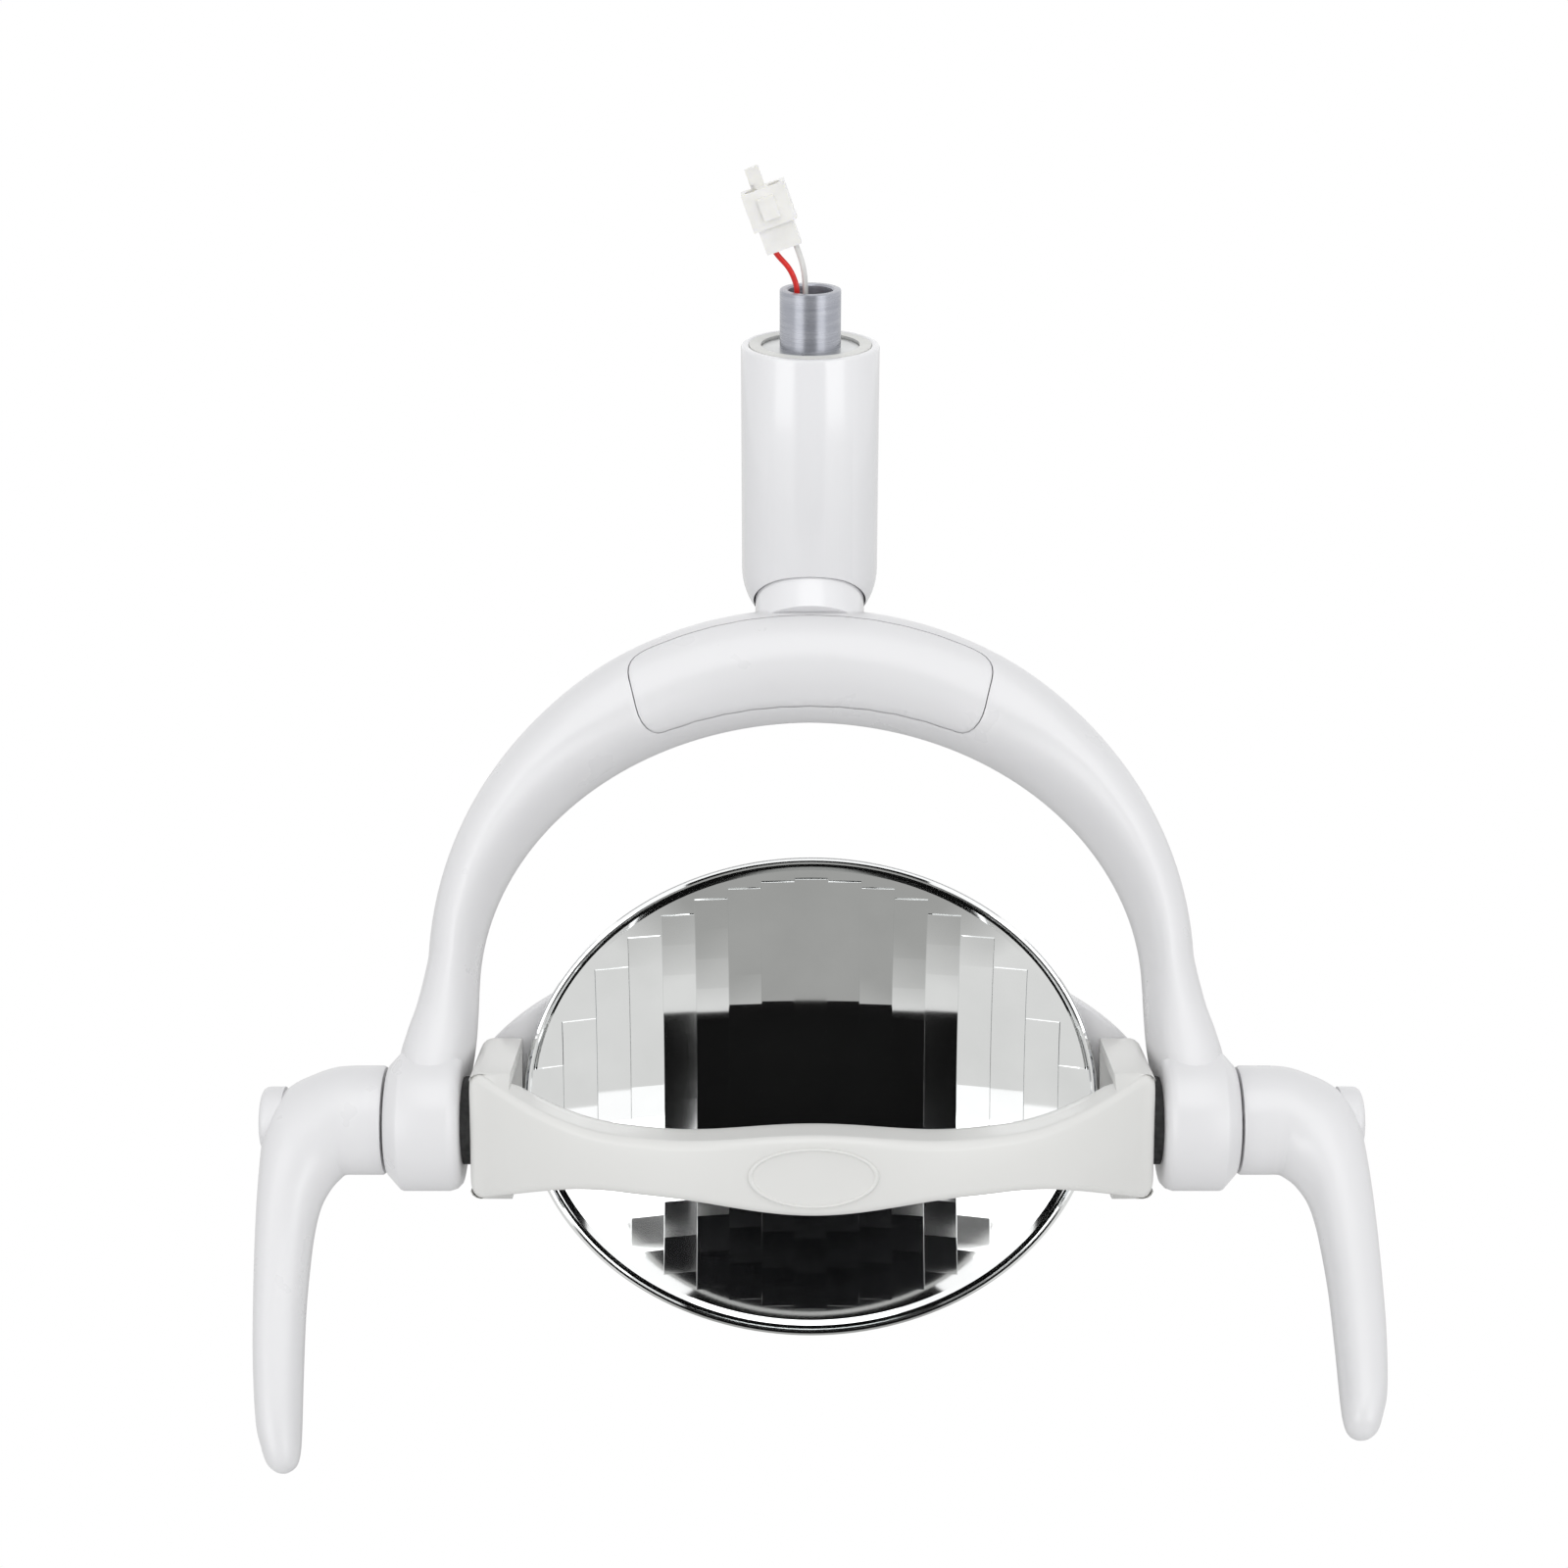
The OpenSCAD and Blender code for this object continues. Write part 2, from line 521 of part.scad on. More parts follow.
// Light source in the back of the front bar
led_back = -bar_front + bar_t;
module led_carrier() color(bright) at_head() difference() {
    translate([-led_span, led_back - 10.5, -8]) cube([2 * led_span, 6.5, 16]);
    for (x = [-24 : 6 : 24]) translate([x, led_back - 11, -9]) cube([2.4, 4, 18]);
}
module led_board() color(board_green) at_head()
    translate([-led_span + 1, led_back - 4, -7.5]) cube([2 * led_span - 2, 1.6, 15]);
module leds() color("gold") at_head() for (x = [-18, -6, 6, 18]) along_y(x, led_back - 2.4, 0) {
    cylinder(r = 3.2, h = 1);
    translate([0, 0, 1]) intersection() {
        sphere(r = 2.4);
        cylinder(r = 3, h = 3);
    }
}
module led_window() color("lightblue") at_head() difference() {
    translate([-led_span - 1.5, led_back - 2.2, -8.2]) cube([2 * led_span + 3, 5.2, 16.4]);
    translate([-led_span + 0.5, led_back - 3, -6.4]) cube([2 * led_span - 1, 4.8, 12.8]);
}

// Reflector: an oval bowl with a flat rolled rim
bowl_sides = 64;
module oval_bowl(profile, a, b) {
    rings = [for (p = profile) [for (k = [0 : bowl_sides - 1]) let (t = 360 * k / bowl_sides)
        [p[0] * a * cos(t), p[1], p[0] * b * sin(t)]]];
    loft(rings);
}
function bowl_y(u) = rim_back + reflector_depth * (1 - u * u);
bowl_cut = [0.02, 0.25, 0.45, 0.65, 0.82, 0.93];
module reflector() color("silver") at_head() oval_bowl(concat(
    [for (u = bowl_cut) [u, bowl_y(u)]],
    [[0.955, rim_back + 2.6], [0.985, rim_back], [1, rim_back + 0.8], [1, rim_back + 2.6],
        [0.975, rim_back + 4.4]],
    [for (i = [len(bowl_cut) - 1 : -1 : 0]) [bowl_cut[i], bowl_y(bowl_cut[i]) + shell_t]]),
    reflector_a, reflector_b);
module reflector_space(gap) oval_bowl(concat([[0.02, rim_back - 30], [1 + gap / reflector_a, rim_back - 30],
    [1 + gap / reflector_a, rim_back + 2.6 + gap], [0.975, rim_back + 4.4 + gap]],
    [for (i = [len(bowl_cut) - 1 : -1 : 0]) [bowl_cut[i], bowl_y(bowl_cut[i]) + shell_t + gap]]),
    reflector_a, reflector_b);
inner_back = housing_back - housing_wall;
post_places = [[-40, 0], [40, 0], [0, -24], [0, 24]];
module reflector_posts() color(acetal) at_head() difference() {
    for (p = post_places) along_y(p[0], rim_back + reflector_depth / 2, p[1])
        cylinder(r = 3, h = inner_back - rim_back - reflector_depth / 2);
    reflector_space(run_gap);
}

// Rear housing: a lens-shaped shell behind the reflector, with wings to the end blocks
module oval_disc(a, b, y, h) along_y(0, y, 0) scale([a, b, 1]) cylinder(r = 1, h = h, $fn = 48);
module housing_form(inset) hull() {
    oval_disc(reflector_a - 12 - inset, reflector_b - 27 - inset, block_back + 2 + inset, 2);
    oval_disc(reflector_a - 44 - inset, reflector_b - 50 - inset, housing_back - 8 - inset, 6);
    oval_disc(reflector_a - 50 - inset, reflector_b - 56 - inset, housing_back - inset - 0.5, 0.5);
    translate([-head_half + 0.5 + 6 * inset, block_back + body_gap + inset, -block_h / 2 + 3 + inset])
        cube([2 * head_half - 1 - 12 * inset, 14 - inset, block_h - 6 - 2 * inset]);
}
module rear_housing() color(white) at_head() difference() {
    housing_form(0);
    housing_form(housing_wall);
    reflector_space(0.6);
    both_sides() for (z = [-wing_screw_z, wing_screw_z]) {
        along_y(wing_screw_x, block_back - cut, z) cylinder(r = wing_screw_r, h = 20);
        along_y(wing_screw_x, block_back + wing_seat, z) cylinder(r = 3.6, h = 40);
    }
}
module housing_screws() color(steel) at_head() both_sides() for (z = [-wing_screw_z, wing_screw_z])
    translate([wing_screw_x, wing_screw_start, z]) rotate([-90, 0, 0])
        cap_screw(wing_screw_r, block_back - wing_screw_start + wing_seat, 3.5, 2.4, 1.5);
board_y = 64;
board_t = 1.6;
module driver_board() color(board_green) at_head() {
    translate([-30, board_y, -18]) cube([60, board_t, 36]);
    translate([-22, board_y - 8, -10]) cube([16, 8, 14]);
    for (x = [6, 18]) along_y(x, board_y - 9, 4) cylinder(r = 4, h = 9);
    translate([2, board_y - 4, -14]) cube([20, 4, 8]);
}
module board_posts() color(acetal) at_head() for (x = [-27, 27]) for (z = [-15, 15])
    along_y(x, board_y + board_t, z) cylinder(r = 2, h = inner_back - board_y - board_t);

// Handles: a stem on the tilt axis, an elbow and a tapered grip
// Outer x and z, inner x and z, half depth, roundness; x from the grip's axis, z from the tilt axis
grip_run = handle_len - 50;
handle_sections = [
    [-22, -stem_r, -22, stem_r, stem_r, 2],
    [-19, -stem_r - 0.1, -15, stem_r - 0.6, stem_r - 0.2, 2],
    [-17.5, -20, -8, 15.6, 18, 2],
    [-15, -23.2, 0, 11.6, 17, 2],
    [-12.6, -27.6, 6.2, 4.6, 16, 2.1],
    [-11.2, -32, 8.8, -6, 14.6, 2.2],
    [-10.2, -38, 9.5, -20, 13.2, 2.3],
    [-9.5, -46, 9.4, -38, 12, 2.4],
    [-8.9, -50 - 0.2 * grip_run, 8.6, -50 - 0.14 * grip_run, 11.2, 2.4],
    [-9.3, -50 - 0.5 * grip_run, 7.2, -50 - 0.47 * grip_run, 10.6, 2.4],
    [-10, -50 - 0.78 * grip_run, 4.9, -50 - 0.76 * grip_run, 10, 2.3],
    [-10, -50 - 0.92 * grip_run, 1.9, -50 - 0.9 * grip_run, 8, 2.2],
    [-8, -50 - 0.985 * grip_run, -1.5, -50 - 0.975 * grip_run, 5, 2]];
module handle(right, swing) color(white) at_head() rotate([-swing, 0, 0]) side(right) difference() {
    union() {
        along_x(stem_in) cylinder(r = stem_r, h = grip_x - 22 - stem_in);
        translate([grip_x, 0, 0]) loft([for (s = handle_sections) edge_ring(s, 0, 16)]);
        along_x(grip_x - 4) cylinder(r = cap_r - 1.5, h = cap_seat - grip_x + 4);
    }
    along_x(stem_in - cut) cylinder(r = axle_r, h = axle_out - stem_in + cut);
    along_x(axle_out - cut) cylinder(r = 4, h = 20);
    along_x(screw_seat) cylinder(r = 7, h = 40);
    along_x(cap_seat) cylinder(r = cap_r + run_gap, h = 20);
}
module handle_screw(right) color(steel) at_tilt() side(right)
    along_x(axle_out - 12) cap_screw(4, screw_seat - axle_out + 12, 6.5, 6, 3);
module handle_cap(right) color(white) at_tilt() side(right) {
    along_x(screw_seat + 8) cylinder(r = 7, h = cap_seat - screw_seat - 8);
    along_x(cap_seat) cylinder(r1 = cap_r, r2 = cap_r - 1, h = 2.2);
}

mount_shaft();
cover_washer();
stop_collar();
thrust_washer();
shaft_circlip();
cable_grommet();
lead_red();
lead_white();
connector_plug();
connector_rear();
contact_pins();
sleeve_shell();
upper_bush();
lower_bush();
swivel_core();
neck_bush();
brake_pad();
brake_screw();
stop_pin();
neck();
neck_washer();
neck_circlip();
yoke_frame();
yoke_cover();
cover_screws();
neck_screws();
tilt_bush(false);  // tilt_bush_left
tilt_bush(true);  // tilt_bush_right
friction_washer(false);  // friction_washer_left
friction_washer(true);  // friction_washer_right
tilt_axle(false);  // tilt_axle_left
tilt_axle(true);  // tilt_axle_right
side_bracket(false);  // side_bracket_left
side_bracket(true);  // side_bracket_right
bracket_screws();
front_bar();
badge_plate();
led_carrier();
led_board();
leds();
led_window();
reflector();
reflector_posts();
rear_housing();
housing_screws();
driver_board();
board_posts();
handle(false, left_swing);  // handle_left
handle(true, right_swing);  // handle_right
handle_screw(false);  // handle_screw_left
handle_screw(true);  // handle_screw_right
handle_cap(false);  // handle_cap_left
handle_cap(true);  // handle_cap_right
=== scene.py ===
# %% [markdown]
# # A dental operating light
# The lamp hangs from a polished shaft. A white sleeve swivels on the shaft, a neck leans out of the sleeve's
# round end and carries a U-shaped yoke, and a faceted mirror tilts between the yoke's ends. LEDs in the back
# of the front bar shine into the mirror, which throws the light forward past the bar.
# The CAD frame gives every place and size, so this script only makes the visible surfaces around it.

# %% Load the frame
import json
from math import cos, pi, radians, sin, sqrt

import bpy
from mathutils import Matrix, Vector


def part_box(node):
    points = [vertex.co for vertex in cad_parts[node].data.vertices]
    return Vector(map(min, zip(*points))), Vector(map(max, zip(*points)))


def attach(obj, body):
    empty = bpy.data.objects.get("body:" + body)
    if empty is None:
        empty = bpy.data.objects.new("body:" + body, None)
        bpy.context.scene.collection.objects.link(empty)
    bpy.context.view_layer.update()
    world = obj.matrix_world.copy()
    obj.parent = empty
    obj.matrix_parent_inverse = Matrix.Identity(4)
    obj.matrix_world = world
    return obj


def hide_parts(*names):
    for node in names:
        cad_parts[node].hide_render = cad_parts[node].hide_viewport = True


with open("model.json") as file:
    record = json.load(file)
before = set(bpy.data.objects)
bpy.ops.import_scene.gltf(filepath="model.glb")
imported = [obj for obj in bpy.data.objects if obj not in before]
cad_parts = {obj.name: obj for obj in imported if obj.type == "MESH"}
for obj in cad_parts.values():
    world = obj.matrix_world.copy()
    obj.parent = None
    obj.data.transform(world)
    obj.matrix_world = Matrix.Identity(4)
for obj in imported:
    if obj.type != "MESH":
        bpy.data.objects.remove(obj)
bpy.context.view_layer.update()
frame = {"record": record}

mm = 0.001
joints = {joint["name"]: joint for joint in frame["record"]["behaviour"]["joints"]}
print("joints:", sorted(joints))

# %% [markdown]
# ## The camera
# It stands a metre in front of the lamp and a little above it, with a short telephoto lens, so that the
# yoke's front face and the inside of the mirror are both seen.

# %% Camera
camera_data = bpy.data.cameras.new("camera")
camera_data.lens = 65.25
camera_data.sensor_width = 36
camera = bpy.data.objects.new("camera", camera_data)
camera.location = (-0.00945, -1.006, 0.2425)
camera.rotation_euler = (radians(67.7), 0, 0)
bpy.context.scene.collection.objects.link(camera)
bpy.context.scene.camera = camera
print("camera at", tuple(camera.location))

# %% [markdown]
# ## Working in the lamp's own frames
# The yoke is drawn in the neck's frame and the head in the head's frame, because both are easier to
# describe there: the neck's frame has Z along the neck, and the head's has -Y along the beam.

# %% Frames of the neck and the head
round_end = Vector(joints["yoke_swivel"]["pos_m"])
tilt_point = Vector(joints["head_tilt"]["pos_m"])
neck_lean = radians(45)
head_pitch = radians(12)
at_neck = Matrix.Translation(round_end) @ Matrix.Rotation(-neck_lean, 4, "X")
at_tilt = Matrix.Translation(tilt_point)
at_head = at_tilt @ Matrix.Rotation(-head_pitch, 4, "X")
yoke_reach = (tilt_point - round_end).length / mm
flip_x = Matrix.Scale(-1, 4, (1, 0, 0))
lay_on_x = Matrix.Rotation(pi / 2, 4, "Y")
lay_on_y = Matrix.Rotation(-pi / 2, 4, "X")
print(f"the yoke reaches {yoke_reach:.1f} mm from the round end to the tilt axis")

# %% [markdown]
# ## Hand tools
# Three tools make most pieces. A turned piece is a profile spun round an axis, as on a lathe. A lofted piece
# starts as a flat grid that is wrapped round its sections. A cut piece is carved with a Boolean modifier.
# The finished object always sits at the origin, with its place in its mesh.

# %% Tools for every piece
def select_only(obj):
    bpy.ops.object.select_all(action="DESELECT")
    obj.select_set(True)
    bpy.context.view_layer.objects.active = obj


def in_edit_mode(obj, *steps):
    select_only(obj)
    bpy.ops.object.mode_set(mode="EDIT")
    bpy.ops.mesh.select_all(action="SELECT")
    for step in steps:
        step()
    bpy.ops.object.mode_set(mode="OBJECT")


def merge_doubles():
    bpy.ops.mesh.remove_doubles(threshold=0.002 * mm)


def face_outwards():
    bpy.ops.mesh.select_all(action="SELECT")
    bpy.ops.mesh.normals_make_consistent(inside=False)


def place(obj, matrix):
    """Moves a piece into the row frame and leaves its object at the origin."""
    obj.data.transform(matrix)
    if matrix.determinant() < 0:
        in_edit_mode(obj, face_outwards)
    return obj


def apply_modifier(obj, kind, **settings):
    select_only(obj)
    modifier = obj.modifiers.new(kind.lower(), kind)
    for key, value in settings.items():
        setattr(modifier, key, value)
    bpy.ops.object.modifier_apply(modifier=modifier.name)


def carve(obj, tool, operation="DIFFERENCE"):
    apply_modifier(obj, "BOOLEAN", object=tool, operation=operation, solver="EXACT")
    bpy.data.objects.remove(tool)


def soften(obj, width, segments=2, angle=40):
    apply_modifier(obj, "BEVEL", width=width * mm, segments=segments, limit_method="ANGLE",
                   angle_limit=radians(angle), harden_normals=False)


def smooth(obj, angle=35):
    select_only(obj)
    bpy.ops.object.shade_smooth_by_angle(angle=radians(angle))


def turned(name, profile, steps=96):
    """Spins a profile of (radius, height) points in millimetres round Z."""
    mesh = bpy.data.meshes.new(name)
    edges = [(i, i + 1) for i in range(len(profile) - 1)]
    mesh.from_pydata([(r * mm, 0, h * mm) for r, h in profile], edges, [])
    obj = bpy.data.objects.new(name, mesh)
    bpy.context.scene.collection.objects.link(obj)
    in_edit_mode(
        obj,
        lambda: bpy.ops.mesh.spin(steps=steps, angle=2 * pi, center=(0, 0, 0), axis=(0, 0, 1)),
        lambda: bpy.ops.mesh.select_all(action="SELECT"),
        merge_doubles,
        face_outwards,
    )
    return obj


def close_ends():
    bpy.ops.mesh.select_all(action="DESELECT")
    bpy.ops.mesh.select_non_manifold()
    bpy.ops.mesh.edge_face_add()


def lofted(name, sections):
    """Wraps a grid round a list of sections, each a list of points in millimetres."""
    rings, sides = len(sections), len(sections[0])
    bpy.ops.object.select_all(action="DESELECT")
    bpy.ops.mesh.primitive_grid_add(x_subdivisions=sides, y_subdivisions=rings - 1, size=1)
    obj = bpy.context.object
    obj.name = obj.data.name = name
    obj.matrix_world = Matrix.Identity(4)
    for index, vertex in enumerate(obj.data.vertices):
        ring, side = divmod(index, sides + 1)
        vertex.co = Vector(sections[ring][side % sides]) * mm
    in_edit_mode(obj, merge_doubles, close_ends, face_outwards)
    return obj


def join(*objs):
    select_only(objs[0])
    for obj in objs[1:]:
        obj.select_set(True)
    bpy.ops.object.join()
    return objs[0]


def mix(a, b, t):
    return a + (b - a) * t


def ease(t):
    t = min(max(t, 0), 1)
    return t * t * (3 - 2 * t)


def bulge(v, power):
    """Turns a sine or cosine into that of a rounder or squarer oval."""
    return (1 if v >= 0 else -1) * abs(v) ** (2 / power)


def through(rows, count):
    """A smooth run of count rows of numbers through the given rows."""
    out = []
    last = len(rows) - 1
    for i in range(count):
        at = i * last / (count - 1)
        k = min(int(at), last - 1)
        t = at - k
        p0, p1, p2, p3 = (rows[min(max(k + d, 0), last)] for d in (-1, 0, 1, 2))
        out.append([
            b + 0.5 * ((c - a) * t + (2 * a - 5 * b + 4 * c - d) * t ** 2 + (3 * b - a - 3 * c + d) * t ** 3)
            for a, b, c, d in zip(p0, p1, p2, p3)
        ])
    return out


print("tools ready")

# %% [markdown]
# ## Materials
# Shader maths is written as Python expressions. The class below wraps a socket, and an expression on it adds
# the Math nodes, so a finish reads like a formula.

# %% Shader sockets as numbers
class Shade:
    def __init__(self, tree, socket):
        self.tree = tree
        self.socket = socket

    def maths(self, operation, *values):
        return node(self.tree, "ShaderNodeMath", {"operation": operation}, dict(enumerate(values)))

    def __add__(self, other):
        return self.maths("ADD", self, other)

    def __radd__(self, other):
        return self.maths("ADD", other, self)

    def __mul__(self, other):
        return self.maths("MULTIPLY", self, other)


def node(tree, kind, settings=None, values=None, out=0):
    """Adds a node, sets it up, feeds its sockets and hands back one output."""
    made = tree.nodes.new(kind)
    for key, value in (settings or {}).items():
        if key == "stops":
            for stop, (at, colour) in zip(made.color_ramp.elements, value):
                stop.position = at
                stop.color = colour
        else:
            setattr(made, key, value)
    for key, value in (values or {}).items():
        if isinstance(value, Shade):
            tree.links.new(value.socket, made.inputs[key])
        else:
            made.inputs[key].default_value = value
    return Shade(tree, made.outputs[out]) if made.outputs else None


def blank(name):
    material = bpy.data.materials.new(name)
    material.use_nodes = True
    tree = material.node_tree
    tree.nodes.clear()
    return material, tree


def finish_shader(tree, **values):
    """Ends a material in one Principled shader."""
    sockets = {key.replace("_", " "): value for key, value in values.items()}
    shader = node(tree, "ShaderNodeBsdfPrincipled", {}, sockets)
    node(tree, "ShaderNodeOutputMaterial", {}, {"Surface": shader})


def noise(tree, scale, detail=3, stretch=(1, 1, 1)):
    spot = node(tree, "ShaderNodeTexCoord", {}, {}, "Object")
    spot = node(tree, "ShaderNodeMapping", {}, {"Vector": spot, "Scale": stretch})
    return node(tree, "ShaderNodeTexNoise", {}, {"Vector": spot, "Scale": scale, "Detail": detail})


def blend(tree, factor, low, high):
    """A colour between two, by a factor that varies over the surface."""
    ramp = {"stops": [(0.3, (*low, 1)), (0.7, (*high, 1))]}
    return node(tree, "ShaderNodeValToRGB", ramp, {"Fac": factor})


def bump(tree, height, strength, distance):
    return node(tree, "ShaderNodeBump", {},
                {"Height": height, "Strength": strength, "Distance": distance * mm})


# %% [markdown]
# The white pieces are of two kinds. The sleeve and neck are lacquered metal, cool white with a faint orange
# peel. The yoke, bar, housing and handles are moulded plastic with a soft gloss. Both pick up slight changes
# of tone and of gloss, because a single flat white looks like plaster.

# %% White lacquer and moulded plastic
def white_finish(name, low, high, rough, peel, coat=0.0):
    material, tree = blank(name)
    cloud = noise(tree, 9)
    haze = noise(tree, 55, 4)
    grain = noise(tree, 900, 2)
    finish_shader(
        tree,
        Base_Color=blend(tree, cloud, low, high),
        Roughness=rough + haze * 0.10,
        Coat_Weight=coat,
        Coat_Roughness=0.08,
        Normal=bump(tree, grain, peel, 0.02),
    )
    return material


lacquer = white_finish("white_lacquer", (0.815, 0.812, 0.825), (0.845, 0.842, 0.855), 0.16, 0.10, 0.4)
moulded = white_finish("moulded_white", (0.765, 0.761, 0.770), (0.795, 0.791, 0.800), 0.24, 0.16)
bar_white = white_finish("bar_white", (0.735, 0.732, 0.712), (0.765, 0.762, 0.742), 0.26, 0.16)
print("whites:", lacquer.name, moulded.name, bar_white.name)

# %% [markdown]
# Bare metals differ in how their surface was made. The shaft was turned and polished, so its fine scratches
# run round it. The mirror coat is smooth, with only a trace of haze.

# %% Metals
def metal(name, low, high, rough, spread, scale, stretch=(1, 1, 1), dent=0.0, metallic=1.0):
    material, tree = blank(name)
    streak = noise(tree, scale, 4, stretch)
    values = {
        "Base_Color": blend(tree, streak, low, high),
        "Metallic": metallic,
        "Roughness": rough + streak * spread,
    }
    if dent:
        values["Normal"] = bump(tree, streak, dent, 0.01)
    finish_shader(tree, **values)
    return material


polished = metal("polished_aluminium", (0.30, 0.31, 0.35), (0.40, 0.41, 0.45), 0.20, 0.14, 60, (1, 1, 14),
                 dent=0.12, metallic=0.4)
washer_metal = metal("brushed_washer", (0.48, 0.49, 0.49), (0.60, 0.61, 0.61), 0.22, 0.15, 90, (1, 1, 8), 0.1)
steel = metal("machined_steel", (0.45, 0.46, 0.48), (0.60, 0.61, 0.63), 0.28, 0.15, 120, (1, 1, 6), 0.1)
black_steel = metal("blackened_steel", (0.03, 0.03, 0.032), (0.06, 0.06, 0.065), 0.35, 0.15, 150)
cast = metal("cast_aluminium", (0.42, 0.43, 0.45), (0.55, 0.56, 0.58), 0.45, 0.20, 200, dent=0.4)
mirror_coat = metal("mirror_coat", (0.80, 0.81, 0.81), (0.86, 0.87, 0.87), 0.035, 0.03, 40)
brass = metal("tinned_brass", (0.55, 0.42, 0.20), (0.70, 0.56, 0.30), 0.25, 0.15, 300)
print("metals ready")


# %% Plastics, rubber, boards and glass
def plain(name, low, high, rough, spread, scale, dent=0.0, **extra):
    material, tree = blank(name)
    cloud = noise(tree, scale, 4)
    finish_shader(
        tree,
        Base_Color=blend(tree, cloud, low, high),
        Roughness=rough + cloud * spread,
        Normal=bump(tree, cloud, dent, 0.02),
        **extra,
    )
    return material


acetal = plain("acetal", (0.74, 0.74, 0.71), (0.80, 0.80, 0.77), 0.38, 0.12, 150, 0.1)
lining = plain("friction_lining", (0.02, 0.02, 0.02), (0.05, 0.05, 0.05), 0.75, 0.15, 400, 0.5)
grommet = plain("soft_rubber", (0.015, 0.015, 0.016), (0.03, 0.03, 0.032), 0.55, 0.2, 250, 0.3)
nylon = plain("milky_nylon", (0.83, 0.82, 0.79), (0.90, 0.89, 0.87), 0.30, 0.10, 120, 0.1,
              Subsurface_Weight=0.35, Subsurface_Radius=(0.004, 0.004, 0.003))
red_jacket = plain("red_jacket", (0.62, 0.01, 0.008), (0.78, 0.02, 0.012), 0.32, 0.10, 200, 0.1)
white_jacket = plain("white_jacket", (0.72, 0.72, 0.70), (0.80, 0.80, 0.78), 0.32, 0.10, 200, 0.1)
solder_mask = plain("solder_mask", (0.01, 0.10, 0.05), (0.015, 0.16, 0.08), 0.25, 0.15, 220, 0.3)
phosphor = plain("phosphor", (0.72, 0.55, 0.12), (0.85, 0.68, 0.20), 0.35, 0.1, 300, 0.1)
window = plain("smoked_window", (0.010, 0.010, 0.011), (0.020, 0.020, 0.022), 0.06, 0.06, 80, 0.02,
               Transmission_Weight=0.25, IOR=1.49)
print("plastics ready")

# %% [markdown]
# ## What stays from the CAD
# Bushes, screws, axles, boards and the connector have their true shape already. They only need a finish.

# %% Finishes on the CAD nodes
finishes = {
    polished: ["mount_shaft", "led_carrier"],
    washer_metal: ["cover_washer"],
    steel: ["stop_collar", "thrust_washer", "stop_pin", "neck_washer", "cover_screws", "neck_screws",
            "tilt_axle_left", "tilt_axle_right", "side_bracket_left", "side_bracket_right",
            "bracket_screws", "housing_screws", "handle_screw_left", "handle_screw_right"],
    black_steel: ["shaft_circlip", "brake_screw", "neck_circlip"],
    cast: ["swivel_core"],
    acetal: ["upper_bush", "lower_bush", "neck_bush", "tilt_bush_left", "tilt_bush_right",
             "reflector_posts", "board_posts"],
    lining: ["friction_washer_left", "friction_washer_right", "brake_pad"],
    grommet: ["cable_grommet"],
    nylon: ["connector_plug", "connector_rear"],
    brass: ["contact_pins"],
    solder_mask: ["led_board", "driver_board"],
    phosphor: ["leds"],
    window: ["led_window"],
}
for material, names in finishes.items():
    for name in names:
        for slot in bpy.data.objects[name].material_slots:
            slot.material = material
print(sum(len(names) for names in finishes.values()), "CAD nodes have their finish")


def hand_over(obj, body, material, slot, *nodes):
    """Gives a finished piece its material, its body and the CAD nodes it stands for."""
    obj.data.materials.clear()
    obj.data.materials.append(material)
    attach(obj, body)
    if nodes:
        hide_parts(*nodes)
    print(f"{obj.name}: {len(obj.data.polygons)} faces on {body}")
    return obj


# %% [markdown]
# ## The two leads
# A red and a white lead of 2 mm come up the shaft's bore and end in the connector. Each is a curve through
# the same points as its CAD tube, with a round bevel.

# %% Leads
lead_r = 1
red_route = [[-5.2, -1.2, 1], [-5.2, -1.2, 4], [-5.2, -1.2, 7], [-5.2, -1.2, 10], [-5.1, -1.2, 13],
             [-4.9, -1.2, 16], [-4.8, -1.1, 19], [-5, -1, 22], [-5.7, -0.8, 24.5], [-6.8, -0.5, 27],
             [-8.2, -0.3, 29.2], [-9.9, -0.1, 31.1], [-11.6, 0, 33], [-13.3, 0, 35.4]]
white_route = [[-1.8, 1.2, 1], [-1.8, 1.2, 4], [-1.8, 1.2, 7], [-1.8, 1.2, 10], [-1.8, 1.2, 13],
               [-1.8, 1.1, 16], [-1.8, 0.9, 19], [-1.9, 0.7, 22], [-2.1, 0.5, 25], [-2.5, 0.3, 28],
               [-3.2, 0.1, 31], [-4.2, 0, 34], [-5.5, 0, 37.6]]


def length_of(points):
    return sum((Vector(b) - Vector(a)).length for a, b in zip(points, points[1:]))


def lead(name, route, material, node_name):
    data = bpy.data.curves.new(name, "CURVE")
    data.dimensions = "3D"
    data.bevel_depth = lead_r * mm
    data.bevel_resolution = 4
    data.use_fill_caps = True
    data.resolution_u = 1
    spline = data.splines.new("POLY")
    points = through(route, 3 * len(route) - 2)
    spline.points.add(len(points) - 1)
    for point, spot in zip(spline.points, points):
        point.co = (*(Vector(spot) * mm), 1)
    obj = bpy.data.objects.new(name, data)
    bpy.context.scene.collection.objects.link(obj)
    data.materials.append(material)
    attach(obj, "shaft")
    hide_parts(node_name)
    print(f"{name}: {length_of(points):.1f} mm")


lead("red_wire", red_route, red_jacket, "lead_red")
lead("white_wire", white_route, white_jacket, "lead_white")

# %% [markdown]
# ## The shaft
# The shaft is a polished tube. Its mouth has a small chamfer inside and out, which catches the light as a
# thin bright ring, so it is turned afresh from a profile.

